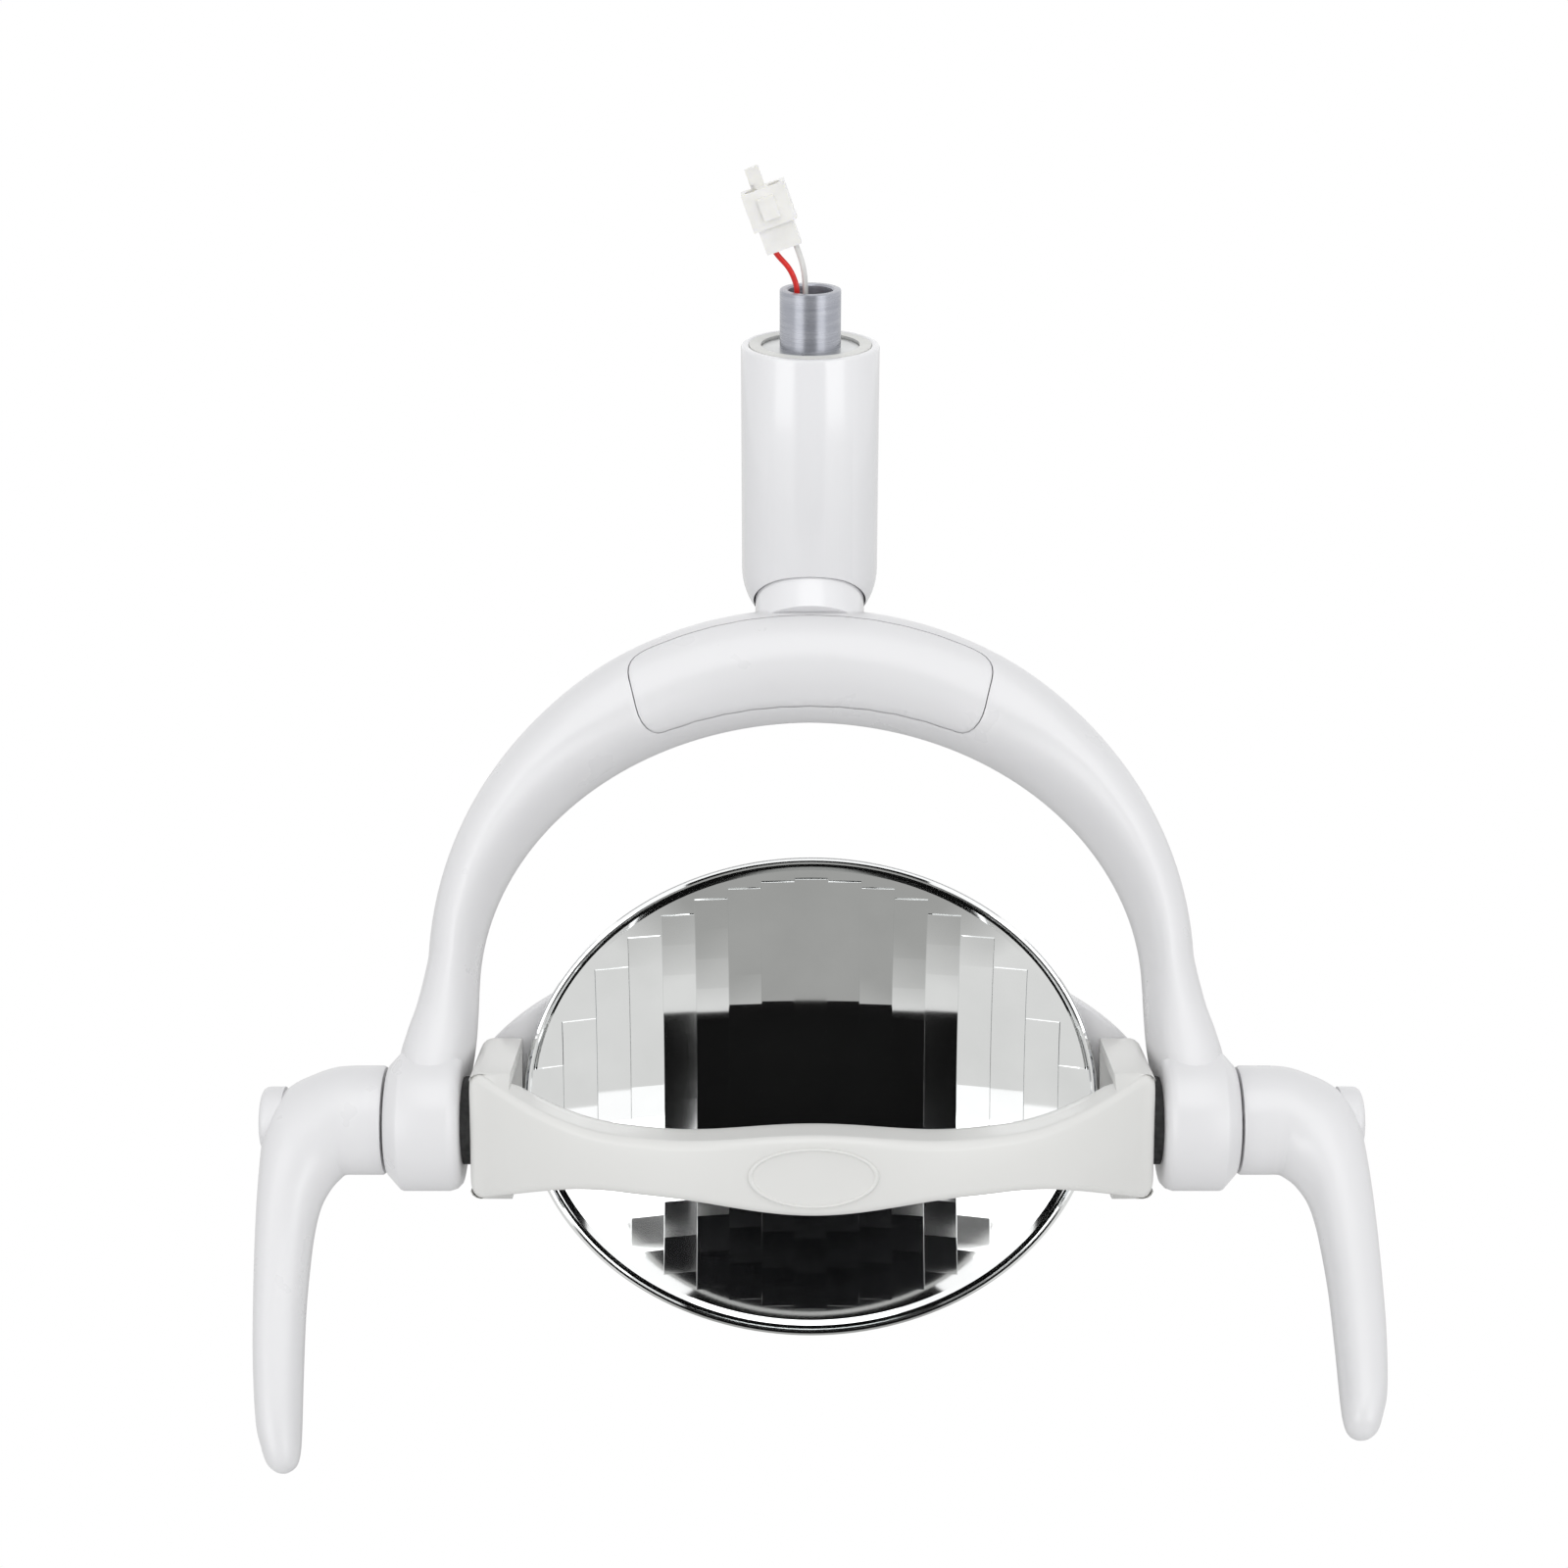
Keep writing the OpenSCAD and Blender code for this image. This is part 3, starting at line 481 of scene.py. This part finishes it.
# %% Shaft
shaft_r = 11
bore_r = 8
shaft_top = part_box("mount_shaft")[1][2] / mm
shaft_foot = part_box("mount_shaft")[0][2] / mm
shaft = turned("polished_shaft", [
    (bore_r, shaft_foot), (shaft_r, shaft_foot), (shaft_r, shaft_top - 0.5),
    (shaft_r - 0.15, shaft_top - 0.15), (shaft_r - 0.5, shaft_top), (bore_r + 0.6, shaft_top),
    (bore_r, shaft_top - 0.6), (bore_r, shaft_foot)])
smooth(shaft, 30)
hand_over(shaft, "shaft", polished, "polished_aluminium", "mount_shaft")

# %% [markdown]
# ## The sleeve
# The sleeve is a tube whose lower end is half a ball. The neck leaves that ball at a slant through a round
# mouth, so the sleeve is turned first and the mouth is then bored along the neck's axis.

# %% Sleeve
sleeve_r = 25
sleeve_in_r = 22
sleeve_rim = 1
ball_z = round_end.z / mm
mouth_r = 20.7
arc = [radians(5 * i) for i in range(19)]
sleeve_profile = (
    [(sleeve_in_r, 0.3), (sleeve_in_r + 0.4, 0.85), (sleeve_in_r + 0.9, sleeve_rim),
     (sleeve_r - 1.2, sleeve_rim), (sleeve_r - 0.4, 0.7), (sleeve_r, -0.2)]
    + [(sleeve_r * cos(a), ball_z - sleeve_r * sin(a)) for a in arc]
    + [(sleeve_in_r * cos(a), ball_z - sleeve_in_r * sin(a)) for a in reversed(arc)]
    + [(sleeve_in_r, 0.3)]
)
sleeve = turned("swivel_sleeve", sleeve_profile, 128)
bpy.ops.mesh.primitive_cylinder_add(vertices=128, radius=mouth_r * mm, depth=40 * mm)
mouth_tool = bpy.context.object
mouth_tool.data.transform(at_neck @ Matrix.Translation((0, 0, -20 * mm)))
carve(sleeve, mouth_tool)
stop_pin_hole = (-21, 2.05)
brake_screw_hole = (-41, 3.95)
for hole_z, hole_r in (stop_pin_hole, brake_screw_hole):
    bpy.ops.mesh.primitive_cylinder_add(vertices=48, radius=hole_r * mm, depth=20 * mm)
    hole_tool = bpy.context.object
    hole_tool.data.transform(Matrix.Translation((0, (sleeve_r + 3) * mm, hole_z * mm)) @ lay_on_y)
    carve(sleeve, hole_tool)
soften(sleeve, 0.35, 2, 50)
smooth(sleeve, 40)
hand_over(sleeve, "sleeve", lacquer, "white_paint", "sleeve_shell")

# %% [markdown]
# ## The neck
# The neck is a plain round stem with a spindle that stays hidden in the ball. A shallow step where it
# enters the mouth gives the joint its shadow line.

# %% Neck
neck_r = 20
neck = turned("leaning_neck", [
    (5.5, -26), (neck_r, -26), (neck_r, -9), (neck_r - 0.5, -7.6), (neck_r - 1.2, -7.3), (10, -7.3),
    (10, 13.5), (9.5, 14), (5.5, 14), (5.5, -26)], 128)
place(neck, at_neck)
smooth(neck, 35)
hand_over(neck, "yoke", lacquer, "white_paint", "neck")

# %% [markdown]
# ## The yoke
# The yoke is one moulded bow: round at the crown, flatter in the limbs, with a soft ridge down the front of
# each limb, and a round boss at each end. Its section changes all the way, so it is lofted from a formula.
# The crown follows two ovals, one for the outer edge and one for the inner, and the limbs run from there
# into the bosses.

# %% Yoke sections
head_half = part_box("front_bar")[1][0] / mm
boss_in = head_half + 3.7
boss_len = 25.8
boss_out = boss_in + boss_len
boss_r = 24
limb_in = head_half + 1
limb_w = 17.5
limb_out = limb_in + limb_w
limb_half = 19.5
crown_top = 19.7
crown_h = 41.6
crown_r = crown_h / 2
outer_drop = yoke_reach - 57
inner_drop = yoke_reach - 52


def crown_section(turn):
    """Inner x and z, outer x and z, half depth, roundness and ridge at an angle round the crown."""
    s, c = sin(turn), cos(turn)
    side = abs(s)
    return [limb_in * s, -inner_drop + (inner_drop - crown_top - crown_h) * c,
            limb_out * s, -outer_drop + (outer_drop - crown_top) * c,
            mix(crown_r, limb_half, side), mix(2, 2.6, side), ease((side - 0.5) / 0.3)]


limb_run = [
    crown_section(radians(84)),
    crown_section(radians(90)),
    [limb_in, -yoke_reach + 40, limb_out + 3.0, -yoke_reach + 40, limb_half, 2.6, 0.8],
    [limb_in + 0.3, -yoke_reach + 29, limb_out + 6.0, -yoke_reach + 29, limb_half + 0.2, 2.6, 0.4],
    [limb_in + 1.4, -yoke_reach + 18, limb_out + 8, -yoke_reach + 18, limb_half + 0.8, 2.5, 0.1],
    [boss_in + 0.8, -yoke_reach + 6, boss_out - 5.5, -yoke_reach + 6, limb_half, 2.4, 0],
]
crown_run = [crown_section(radians(t)) for t in range(0, 90, 2)]
half_run = crown_run + through(limb_run, 41)[8:]
full_run = [[-r[0], r[1], -r[2], *r[3:]] for r in reversed(half_run[1:])] + half_run


def yoke_ring(row, sides=48):
    """One section of the yoke, with its front pulled to a soft ridge."""
    x0, z0, x1, z1, depth, power, ridge = row
    points = []
    for i in range(sides):
        a = 2 * pi * i / sides
        c, s = cos(a), sin(a)
        front = s < 0
        across = power if not front else mix(power, 1.75 if c < 0 else 2.15, ridge)
        u = 0.5 + 0.5 * bulge(c, across) - (0.05 * ridge * (1 - abs(c)) if front else 0)
        points.append((mix(x0, x1, u), depth * bulge(s, across), mix(z0, z1, u)))
    return points


def yoke_bow(name):
    return lofted(name, [yoke_ring(row) for row in full_run])


print(len(full_run), "sections round the yoke")

# %% [markdown]
# The cover plate is not laid on top of the yoke. It is the yoke's own skin, parted by a thin seam, so both
# are cut from the same bow: the plate keeps what is inside the outline, and the frame keeps the rest.

# %% Yoke frame and cover
cover_turn = 31


def across_crown(turn, k):
    x0, z0, x1, z1 = crown_section(turn)[:4]
    return mix(x0, x1, k), mix(z0, z1, k)


def rounded(points, radius, steps=6):
    """Rounds the corners of a closed outline that turn by more than 40 degrees."""
    out = []
    n = len(points)
    for i, point in enumerate(points):
        here, before, after = Vector(point), Vector(points[i - 1]), Vector(points[(i + 1) % n])
        a, b = (before - here).normalized(), (after - here).normalized()
        if a.dot(-b) > cos(radians(40)):
            out.append(tuple(here))
            continue
        for j in range(steps + 1):
            t = j / steps
            p, q = here + a * radius, here + b * radius
            out.append(tuple(p * (1 - t) ** 2 + here * 2 * t * (1 - t) + q * t * t))
    return out


def cover_prism(name, grow, front, back):
    turns = [radians(cover_turn) * i / 6 for i in range(-6, 7)]
    spread = 1 + grow / 66
    outline = [across_crown(t * spread, 0.80 + grow / crown_h) for t in turns]
    outline += [across_crown(t * spread, 0.035 - grow / crown_h) for t in reversed(turns)]
    outline = rounded(outline, 9)
    mesh = bpy.data.meshes.new(name)
    mesh.from_pydata([(x * mm, front * mm, z * mm) for x, z in outline], [], [list(range(len(outline)))])
    obj = bpy.data.objects.new(name, mesh)
    bpy.context.scene.collection.objects.link(obj)
    in_edit_mode(
        obj,
        lambda: bpy.ops.mesh.extrude_region_move(
            TRANSFORM_OT_translate={"value": (0, (back - front) * mm, 0)}),
        face_outwards,
    )
    return obj


def boss_profile():
    return [(8.6, boss_in + 0.3), (boss_r - 5, boss_in), (boss_r - 2.4, boss_in + 0.5),
            (boss_r - 0.8, boss_in + 2), (boss_r, boss_in + 4.4), (boss_r, boss_out - 5.6),
            (boss_r - 0.35, boss_out - 4.7), (18.9, boss_out - 0.4), (18.2, boss_out), (8.6, boss_out),
            (8.6, boss_in + 0.3)]


yoke = yoke_bow("yoke_bow")
carve(yoke, cover_prism("seam_tool", 0.18, -40, -4))
cover = yoke_bow("crown_cover")
carve(cover, cover_prism("cover_tool", -0.18, -40, -4.4), "INTERSECT")
for piece in (yoke, cover):
    soften(piece, 0.30, 2, 55)
bosses = []
for mirror in (Matrix.Identity(4), flip_x):
    bosses.append(place(turned("boss", boss_profile(), 96),
                        mirror @ Matrix.Translation((0, 0, -yoke_reach * mm)) @ lay_on_x))
yoke = join(yoke, *bosses)
for piece in (yoke, cover):
    place(piece, at_neck)
    smooth(piece, 38)
yoke.name = "yoke_casting"
hand_over(yoke, "yoke", moulded, "white_plastic", "yoke_frame")
hand_over(cover, "yoke", moulded, "white_plastic", "yoke_cover")

# %% [markdown]
# ## The reflector
# The bowl is oval with a rolled rim. Inside it stand seventeen upright strips, each flat from side to side,
# so that the light is spread into an even patch. Their ends step round the oval and leave a smooth band.
# The band is a lofted bowl, and the strips are thin plates that lie on it.

# %% Reflector
rim_back = 22
bowl_depth = 28.5
bowl_a = 100.5
bowl_b = 86.7
strip_count = 17
strip_pitch = 11.6
strip_reach = 0.905
strip_stand = 0.5


def bowl_y(x, z):
    return rim_back + bowl_depth * (1 - (x / bowl_a) ** 2 - (z / bowl_b) ** 2)


def oval(u, y, sides=160):
    turns = [2 * pi * i / sides for i in range(sides)]
    return [(u * bowl_a * cos(a), y, u * bowl_b * sin(a)) for a in turns]


def rise(u):
    return rim_back + bowl_depth * (1 - u * u)


bowl_profile = [(u / 20, rise(u / 20) + strip_stand) for u in range(1, 19)]
bowl_profile += [(0.945, rise(0.945) + 0.7), (0.962, rise(0.962) + 0.3), (0.9655, rise(0.9655) + 1.6),
                 (0.9705, rise(0.9705) + 1.7), (0.974, rim_back + 0.9), (0.979, rim_back + 0.25),
                 (0.986, rim_back), (0.993, rim_back + 0.25), (0.998, rim_back + 0.9), (1.0, rim_back + 1.7),
                 (0.999, rim_back + 2.7), (0.994, rim_back + 3.5), (0.985, rim_back + 3.9),
                 (0.975, rim_back + 4.2)]
bowl_profile += [(u / 20, rise(u / 20) + 1.9) for u in range(19, 0, -1)]
bowl = lofted("reflector_bowl", [oval(u, y) for u, y in bowl_profile])

strips = []
for i in range(strip_count):
    x_mid = (i - (strip_count - 1) / 2) * strip_pitch
    slope = -2 * bowl_depth * x_mid / bowl_a ** 2
    far_x = min(abs(x_mid) + 0.35 * strip_pitch, bowl_a * strip_reach - 0.5)
    top = bowl_b * strip_reach * sqrt(max(1 - (far_x / (bowl_a * strip_reach)) ** 2, 0.02))
    rows = max(2, round(2 * top / strip_pitch))
    edge = strip_pitch / 2 - 0.12
    sections = []
    for row in range(rows):
        z0, z1 = -top + 2 * top * row / rows, -top + 2 * top * (row + 1) / rows
        z_mid = (z0 + z1) / 2
        tip = -2 * bowl_depth * z_mid / bowl_b ** 2
        for z in (z0 + 0.05, mix(z0, z1, 0.25), z_mid, mix(z0, z1, 0.75), z1 - 0.05):
            flat_y = bowl_y(x_mid, z_mid) + tip * (z - z_mid)
            y = mix(flat_y, bowl_y(x_mid, z), 0.72)
            face = [(x_mid - edge, y - slope * edge), (x_mid + edge, y + slope * edge)]
            sections.append([(face[0][0], face[0][1], z), (face[1][0], face[1][1], z),
                             (face[1][0], face[1][1] + 1.4, z), (face[0][0], face[0][1] + 1.4, z)])
    strips.append(lofted("strip", sections))
reflector = join(bowl, *strips)
reflector.name = "faceted_reflector"
place(reflector, at_head)
smooth(reflector, 12)
hand_over(reflector, "head", mirror_coat, "mirror_coat", "reflector")

# %% [markdown]
# ## The front bar
# The bar bows forward in front of the mirror and grows into a block at each end. Its height narrows beside
# the middle, where a blank oval sits, and spreads again towards the blocks. It is lofted along X from
# rounded oblong sections.

# %% Front bar
bar_front = 63
bar_t = 18
bar_bow = 43
bar_span = head_half - 3
bar_radius = (bar_span ** 2 + bar_bow ** 2) / (2 * bar_bow)
bar_centre = bar_radius - bar_front
bar_mid_h = 27
bar_neck_h = 19.4
block_h = 44
block_t = 14
block_back = 28


def bar_half_height(x):
    u = abs(x) / bar_span
    if u < 0.56:
        return bar_neck_h / 2 + (bar_mid_h - bar_neck_h) / 2 * (1 + cos(min(u / 0.45, 1) * pi)) / 2
    return mix(bar_neck_h / 2, block_h / 2, 1 - cos(min((u - 0.56) / 0.44, 1) * pi / 2))


def bar_face(x):
    x = min(abs(x), bar_span)
    return bar_centre - sqrt(bar_radius ** 2 - x * x)


def quarter(y, z, corner, start, steps=5):
    turns = [radians(start + 90 * i / steps) for i in range(steps + 1)]
    return [(y + corner * cos(a), z + corner * sin(a)) for a in turns]


def bar_ring(x, front, back, high_front, high_back, knee, corner):
    """Half of it runs from the back over the top to the front, and the other half is its mirror image."""
    top = quarter(back - corner, high_back - corner, corner, 0)
    top += [(knee + 1.5, high_back), (knee, high_back - 0.25)]
    top += quarter(front + corner, high_front - corner, corner, 90)
    return [(x, y, z) for y, z in top] + [(x, y, -z) for y, z in reversed(top)]


inner_x = head_half - block_t
bar_sections = []
for i in range(-40, 41):
    x = inner_x * i / 40
    h = bar_half_height(x)
    front = bar_face(x)
    bar_sections.append(bar_ring(x, front, front + bar_t, h, h, front + bar_t / 2, 3.2))
ends = []
for step, corner, shrink in ((0, 3.2, 0), (0.2, 3.2, 0), (4, 3.2, 0), (8, 3.2, 0), (block_t - 3.4, 3.2, 0),
                             (block_t - 1.9, 3.6, 0.35), (block_t - 0.7, 4.2, 1.2), (block_t, 4.8, 2.6)):
    x = inner_x + step
    ends.append(bar_ring(x, bar_face(x) + shrink, block_back - shrink, bar_half_height(x) - shrink,
                         block_h / 2 - shrink, -19, corner))
mirrored_ends = [[(-x, y, z) for x, y, z in ring] for ring in reversed(ends)]
bar = lofted("bowed_bar", mirrored_ends + bar_sections + ends)
led_opening = (63.6, 22, 16.8)
bracket_pocket = (30, 40, 36)


def block(middle_point, size):
    """A box that cuts a pocket."""
    bpy.ops.mesh.primitive_cube_add(size=1)
    tool = bpy.context.object
    tool.data.transform(Matrix.Translation(Vector(middle_point) * mm)
                        @ Matrix.Diagonal((*(Vector(size) * mm), 1)))
    return tool


carve(bar, block((0, -bar_front + bar_t - 1, 0), led_opening))
for side in (-1, 1):
    carve(bar, block((side * (inner_x - 4.5), 4, 0), bracket_pocket))
soften(bar, 0.4, 2, 60)
place(bar, at_head)
smooth(bar, 40)
hand_over(bar, "head", bar_white, "white_plastic", "front_bar")

# %% [markdown]
# A dark panel lines the back of the bar round the LED window and wraps its lower rear edge. The mirror looks
# straight at it, so while the LEDs are off it paints the black middle of the mirror: a painted reflection of
# the dark room in front.

# %% Dark panel behind the bar, a painted reflection
panel_half = 75
panel_steps = 25
panel_sunk = 0.3
panel_proud = 0.15
panel_lip = 12
panel_sections = []
for i in range(-panel_steps, panel_steps + 1):
    x = panel_half * i / panel_steps
    near, far = bar_face(x) + bar_t - panel_sunk, bar_face(x) + bar_t + panel_proud
    h = bar_half_height(x)
    top, inside, outside = h - 2.6, panel_sunk - h, -h - panel_proud
    panel_sections.append([(x, near, top), (x, near, inside), (x, near - panel_lip, inside),
                           (x, near - panel_lip, outside), (x, far, outside), (x, far, top)])
# painted reflection: this dark panel stands in for the dark room that the mirror's middle reflects
panel = lofted("painted_reflection_panel", panel_sections)
carve(panel, block((0, -bar_front + bar_t, 0), led_opening))
place(panel, at_head)
hand_over(panel, "head", window, "smoked_window")

# %% [markdown]
# ## The blank oval
# The middle of the bar carries an oval plate with a fine raised edge. It is left blank.
# It is a flat oval grid pressed onto the bar's curved face.

# %% Oval plate
badge_a = 21.2
badge_b = 10
badge_rings = [(0.02, 0.25), (0.5, 0.25), (0.88, 0.25), (0.915, 0.3), (0.93, 0.75), (0.95, 0.95),
               (0.975, 0.9), (0.995, 0.55), (1.0, -0.2)]
badge_sections = []
for u, stand in badge_rings:
    ring = []
    for i in range(96):
        x, z = u * badge_a * cos(2 * pi * i / 96), u * badge_b * sin(2 * pi * i / 96)
        ring.append((x, bar_face(x) - stand, z))
    badge_sections.append(ring)
badge = lofted("blank_oval", badge_sections)
place(badge, at_head)
smooth(badge, 50)
hand_over(badge, "head", bar_white, "white_plastic", "badge_plate")

# %% [markdown]
# ## The rear housing
# A lens-shaped shell closes the mirror's back and reaches the end blocks with two wings. It is lofted from
# its wide front edge to its flat back, and vent slots are cut across the back.

# %% Rear housing
house_a = 121
house_end = head_half - 0.5
house_b = 59.7
house_power = 1.8
house_profile = [(0.86, 28.4), (0.985, 28.4), (1.0, 29.6), (1.0, 34), (0.975, 42), (0.92, 51), (0.84, 60),
                 (0.74, 68), (0.62, 74), (0.5, 76.8), (0.4, 77.8), (0.2, 78), (0.05, 78)]


def house_ring(k, y, sides=128):
    points = []
    for i in range(sides):
        a = 2 * pi * i / sides
        x = house_a * bulge(cos(a), house_power)
        x = min(max(x, -house_end), house_end)
        points.append((k * x, y, k * house_b * bulge(sin(a), house_power)))
    return points


housing_rows = through([list(row) for row in house_profile], 49)
housing = lofted("rear_shell", [house_ring(k, y) for k, y in housing_rows])
bowl_clearance = lofted("bowl_clearance", [oval(u, y, 96) for u, y in (
    [(0.02, -30), (1.006, -30), (1.006, rim_back + 3.3), (0.98, rim_back + 5.0)]
    + [(u / 20, rise(u / 20) + 2.6) for u in range(19, 0, -1)])])
carve(housing, bowl_clearance)
for i in range(-3, 4):
    bpy.ops.mesh.primitive_cylinder_add(vertices=24, radius=1.5 * mm, depth=20 * mm)
    slot_tool = bpy.context.object
    slot_tool.data.transform(Matrix.Diagonal((15, 1, 1, 1)))
    slot_tool.data.transform(Matrix.Translation((0, 80 * mm, i * 7 * mm)) @ lay_on_y)
    carve(housing, slot_tool)
soften(housing, 0.4, 2, 50)
place(housing, at_head)
smooth(housing, 40)
hand_over(housing, "head", moulded, "white_plastic", "rear_housing")

# %% [markdown]
# ## The handles
# Each handle is a moulded grip: a thick stem on the tilt axis, an elbow, and a tapered oval grip that hangs
# down and forward. A clean round cap closes the screw hole at the elbow. The two sides are set at
# different angles, as a user leaves them.

# %% Handles
grip_x = boss_out + 33.5
stem_in = boss_out + 0.4
stem_r = 18.6
grip_run = 69
grip_sections = [
    [-22, -stem_r, -22, stem_r, stem_r, 2],
    [-19, -stem_r - 0.1, -15, stem_r - 0.6, stem_r - 0.2, 2],
    [-17.5, -20, -8, 15.6, 18, 2],
    [-15, -23.2, 0, 11.6, 17, 2],
    [-12.6, -27.6, 6.2, 4.6, 16, 2.1],
    [-11.2, -32, 8.8, -6, 14.6, 2.2],
    [-10.2, -38, 9.5, -20, 13.2, 2.3],
    [-9.5, -46, 9.4, -38, 12, 2.4],
    [-8.9, -50 - 0.2 * grip_run, 8.6, -50 - 0.14 * grip_run, 11.2, 2.4],
    [-9.3, -50 - 0.5 * grip_run, 7.2, -50 - 0.47 * grip_run, 10.6, 2.4],
    [-10, -50 - 0.78 * grip_run, 4.9, -50 - 0.76 * grip_run, 10, 2.3],
    [-10, -50 - 0.9 * grip_run, 2.6, -50 - 0.88 * grip_run, 8.6, 2.2],
    [-9, -50 - 0.96 * grip_run, 0.6, -50 - 0.95 * grip_run, 6.4, 2.1],
    [-6.6, -50 - 0.99 * grip_run, -2, -50 - 0.985 * grip_run, 3, 2],
    [-4.8, -50 - 0.995 * grip_run, -4, -50 - 0.995 * grip_run, 0.6, 2],
]


def grip_ring(row, sides=40):
    x0, z0, x1, z1, depth, power = row
    points = []
    for i in range(sides):
        a = 2 * pi * i / sides
        u = 0.5 * bulge(cos(a), power)
        points.append(((x0 + x1) / 2 + (x1 - x0) * u + grip_x, depth * bulge(sin(a), power),
                       (z0 + z1) / 2 + (z1 - z0) * u))
    return points


stem_rows = [[stem_in + 0.6 - grip_x, -stem_r + 0.5, stem_in + 0.6 - grip_x, stem_r - 0.5, stem_r - 0.5, 2],
             [stem_in + 1.4 - grip_x, -stem_r, stem_in + 1.4 - grip_x, stem_r, stem_r, 2],
             [-26, -stem_r, -26, stem_r, stem_r, 2]]


def handle(name, mirror, swing, *nodes):
    rows = stem_rows + through(grip_sections, 85)
    obj = lofted(name, [grip_ring(row) for row in rows])
    place(obj, at_head @ Matrix.Rotation(-radians(swing), 4, "X") @ mirror)
    smooth(obj, 50)
    return hand_over(obj, "head", moulded, "white_plastic", *nodes)


def handle_cap(name, mirror, *nodes):
    obj = turned(name, [(0.01, 10.1), (4, 10.05), (7.5, 9.85), (9.6, 9.5), (10.6, 9.0), (11.2, 8.2),
                        (11.45, 7.2), (11.45, 2), (0.01, 2)], 72)
    place(obj, at_tilt @ mirror @ Matrix.Translation((grip_x * mm, 0, 0)) @ lay_on_x)
    smooth(obj, 40)
    return hand_over(obj, "head", moulded, "white_plastic", *nodes)


handle("grip_left", flip_x, 32, "handle_left")
handle("grip_right", Matrix.Identity(4), 50, "handle_right")
handle_cap("elbow_cap_left", flip_x, "handle_cap_left")
handle_cap("elbow_cap_right", Matrix.Identity(4), "handle_cap_right")

# %% [markdown]
# ## Floor, light and world
# The lamp is shown over a pale floor in an even white room. Only a mirror shows what the room is like, so the
# floor is grey in mirrors, darker below the lamp than to its sides, and a dark card stands in front, which
# rays from the camera pass through. Without them the mirror is blank.

# %% Floor and card
floor_z = -1.1
bpy.ops.mesh.primitive_plane_add(size=14, location=(0, 0, floor_z))
floor = bpy.context.object
floor.name = "floor"
floor_material, tree = blank("floor_white")
sight = node(tree, "ShaderNodeLightPath", {}, {}, "Is Camera Ray")
mirrored = node(tree, "ShaderNodeLightPath", {}, {}, "Is Glossy Ray")
glow = node(tree, "ShaderNodeEmission", {}, {"Color": (1, 1, 1, 1), "Strength": 1.0})
dull = node(tree, "ShaderNodeBsdfDiffuse", {}, {"Color": (0.86, 0.86, 0.86, 1)})
spot_on_floor = node(tree, "ShaderNodeTexCoord", {}, {}, "Object")
across = node(tree, "ShaderNodeSeparateXYZ", {}, {"Vector": spot_on_floor}, "X")
across = across.maths("ABSOLUTE", across)
floor_tones = [(0.28, (0.40, 0.40, 0.39, 1)), (0.55, (0.80, 0.80, 0.79, 1))]
tone = node(tree, "ShaderNodeValToRGB", {"stops": floor_tones}, {"Fac": across})
grey = node(tree, "ShaderNodeEmission", {}, {"Color": tone, "Strength": 1.0})
shown = node(tree, "ShaderNodeMixShader", {}, {0: mirrored, 1: dull, 2: grey})
shown = node(tree, "ShaderNodeMixShader", {}, {0: sight, 1: shown, 2: glow})
node(tree, "ShaderNodeOutputMaterial", {}, {"Surface": shown})
floor.data.materials.append(floor_material)

bpy.ops.mesh.primitive_plane_add(size=1)
card = bpy.context.object
card.name = "dark_card"
card.data.transform(Matrix.Translation((0, -1.27, 0.1)) @ Matrix.Rotation(pi / 2, 4, "X")
                    @ Matrix.Diagonal((1.1, 1.86, 1, 1)))
card_material, tree = blank("card_black")
seen = node(tree, "ShaderNodeLightPath", {}, {}, "Is Glossy Ray")
clear = node(tree, "ShaderNodeBsdfTransparent", {}, {})
black = node(tree, "ShaderNodeEmission", {}, {"Color": (0.006, 0.006, 0.006, 1), "Strength": 1.0})
shown = node(tree, "ShaderNodeMixShader", {}, {0: seen, 1: clear, 2: black})
node(tree, "ShaderNodeOutputMaterial", {}, {"Surface": shown})
card.data.materials.append(card_material)
print("floor at", floor_z)


# %% Lamps and world
def softbox(name, spot, look_at, width, power):
    data = bpy.data.lights.new(name, "AREA")
    data.shape = "SQUARE"
    data.size = width
    data.energy = power
    obj = bpy.data.objects.new(name, data)
    obj.location = spot
    obj.rotation_euler = (Vector(look_at) - Vector(spot)).to_track_quat("-Z", "Y").to_euler()
    bpy.context.scene.collection.objects.link(obj)


middle = (0, -0.12, -0.17)
softbox("top_box", (0.1, -0.6, 1.2), middle, 1.2, 6)
softbox("left_box", (-1.2, -1.3, 0.3), middle, 1.0, 4.7)
softbox("right_box", (1.2, -1.4, 0.3), middle, 1.0, 4.7)
softbox("low_box", (0, -2.0, -0.6), middle, 1.3, 5)

world = bpy.data.worlds.new("room")
bpy.context.scene.world = world
world.use_nodes = True
tree = world.node_tree
tree.nodes.clear()
camera_ray = node(tree, "ShaderNodeLightPath", {}, {}, "Is Camera Ray")
mirror_ray = node(tree, "ShaderNodeLightPath", {}, {}, "Is Glossy Ray")
room_light = mirror_ray * 0.2 + 1.0
white_room = node(tree, "ShaderNodeBackground", {}, {"Color": (1, 1, 1, 1), "Strength": room_light})
soft_room = node(tree, "ShaderNodeBackground", {}, {"Color": (0.98, 0.99, 1, 1), "Strength": 0.60})
shown = node(tree, "ShaderNodeMixShader", {}, {0: camera_ray + mirror_ray, 1: soft_room, 2: white_room})
node(tree, "ShaderNodeOutputWorld", {}, {"Surface": shown})

bpy.context.scene.view_settings.view_transform = "Standard"
print("lights and world ready")
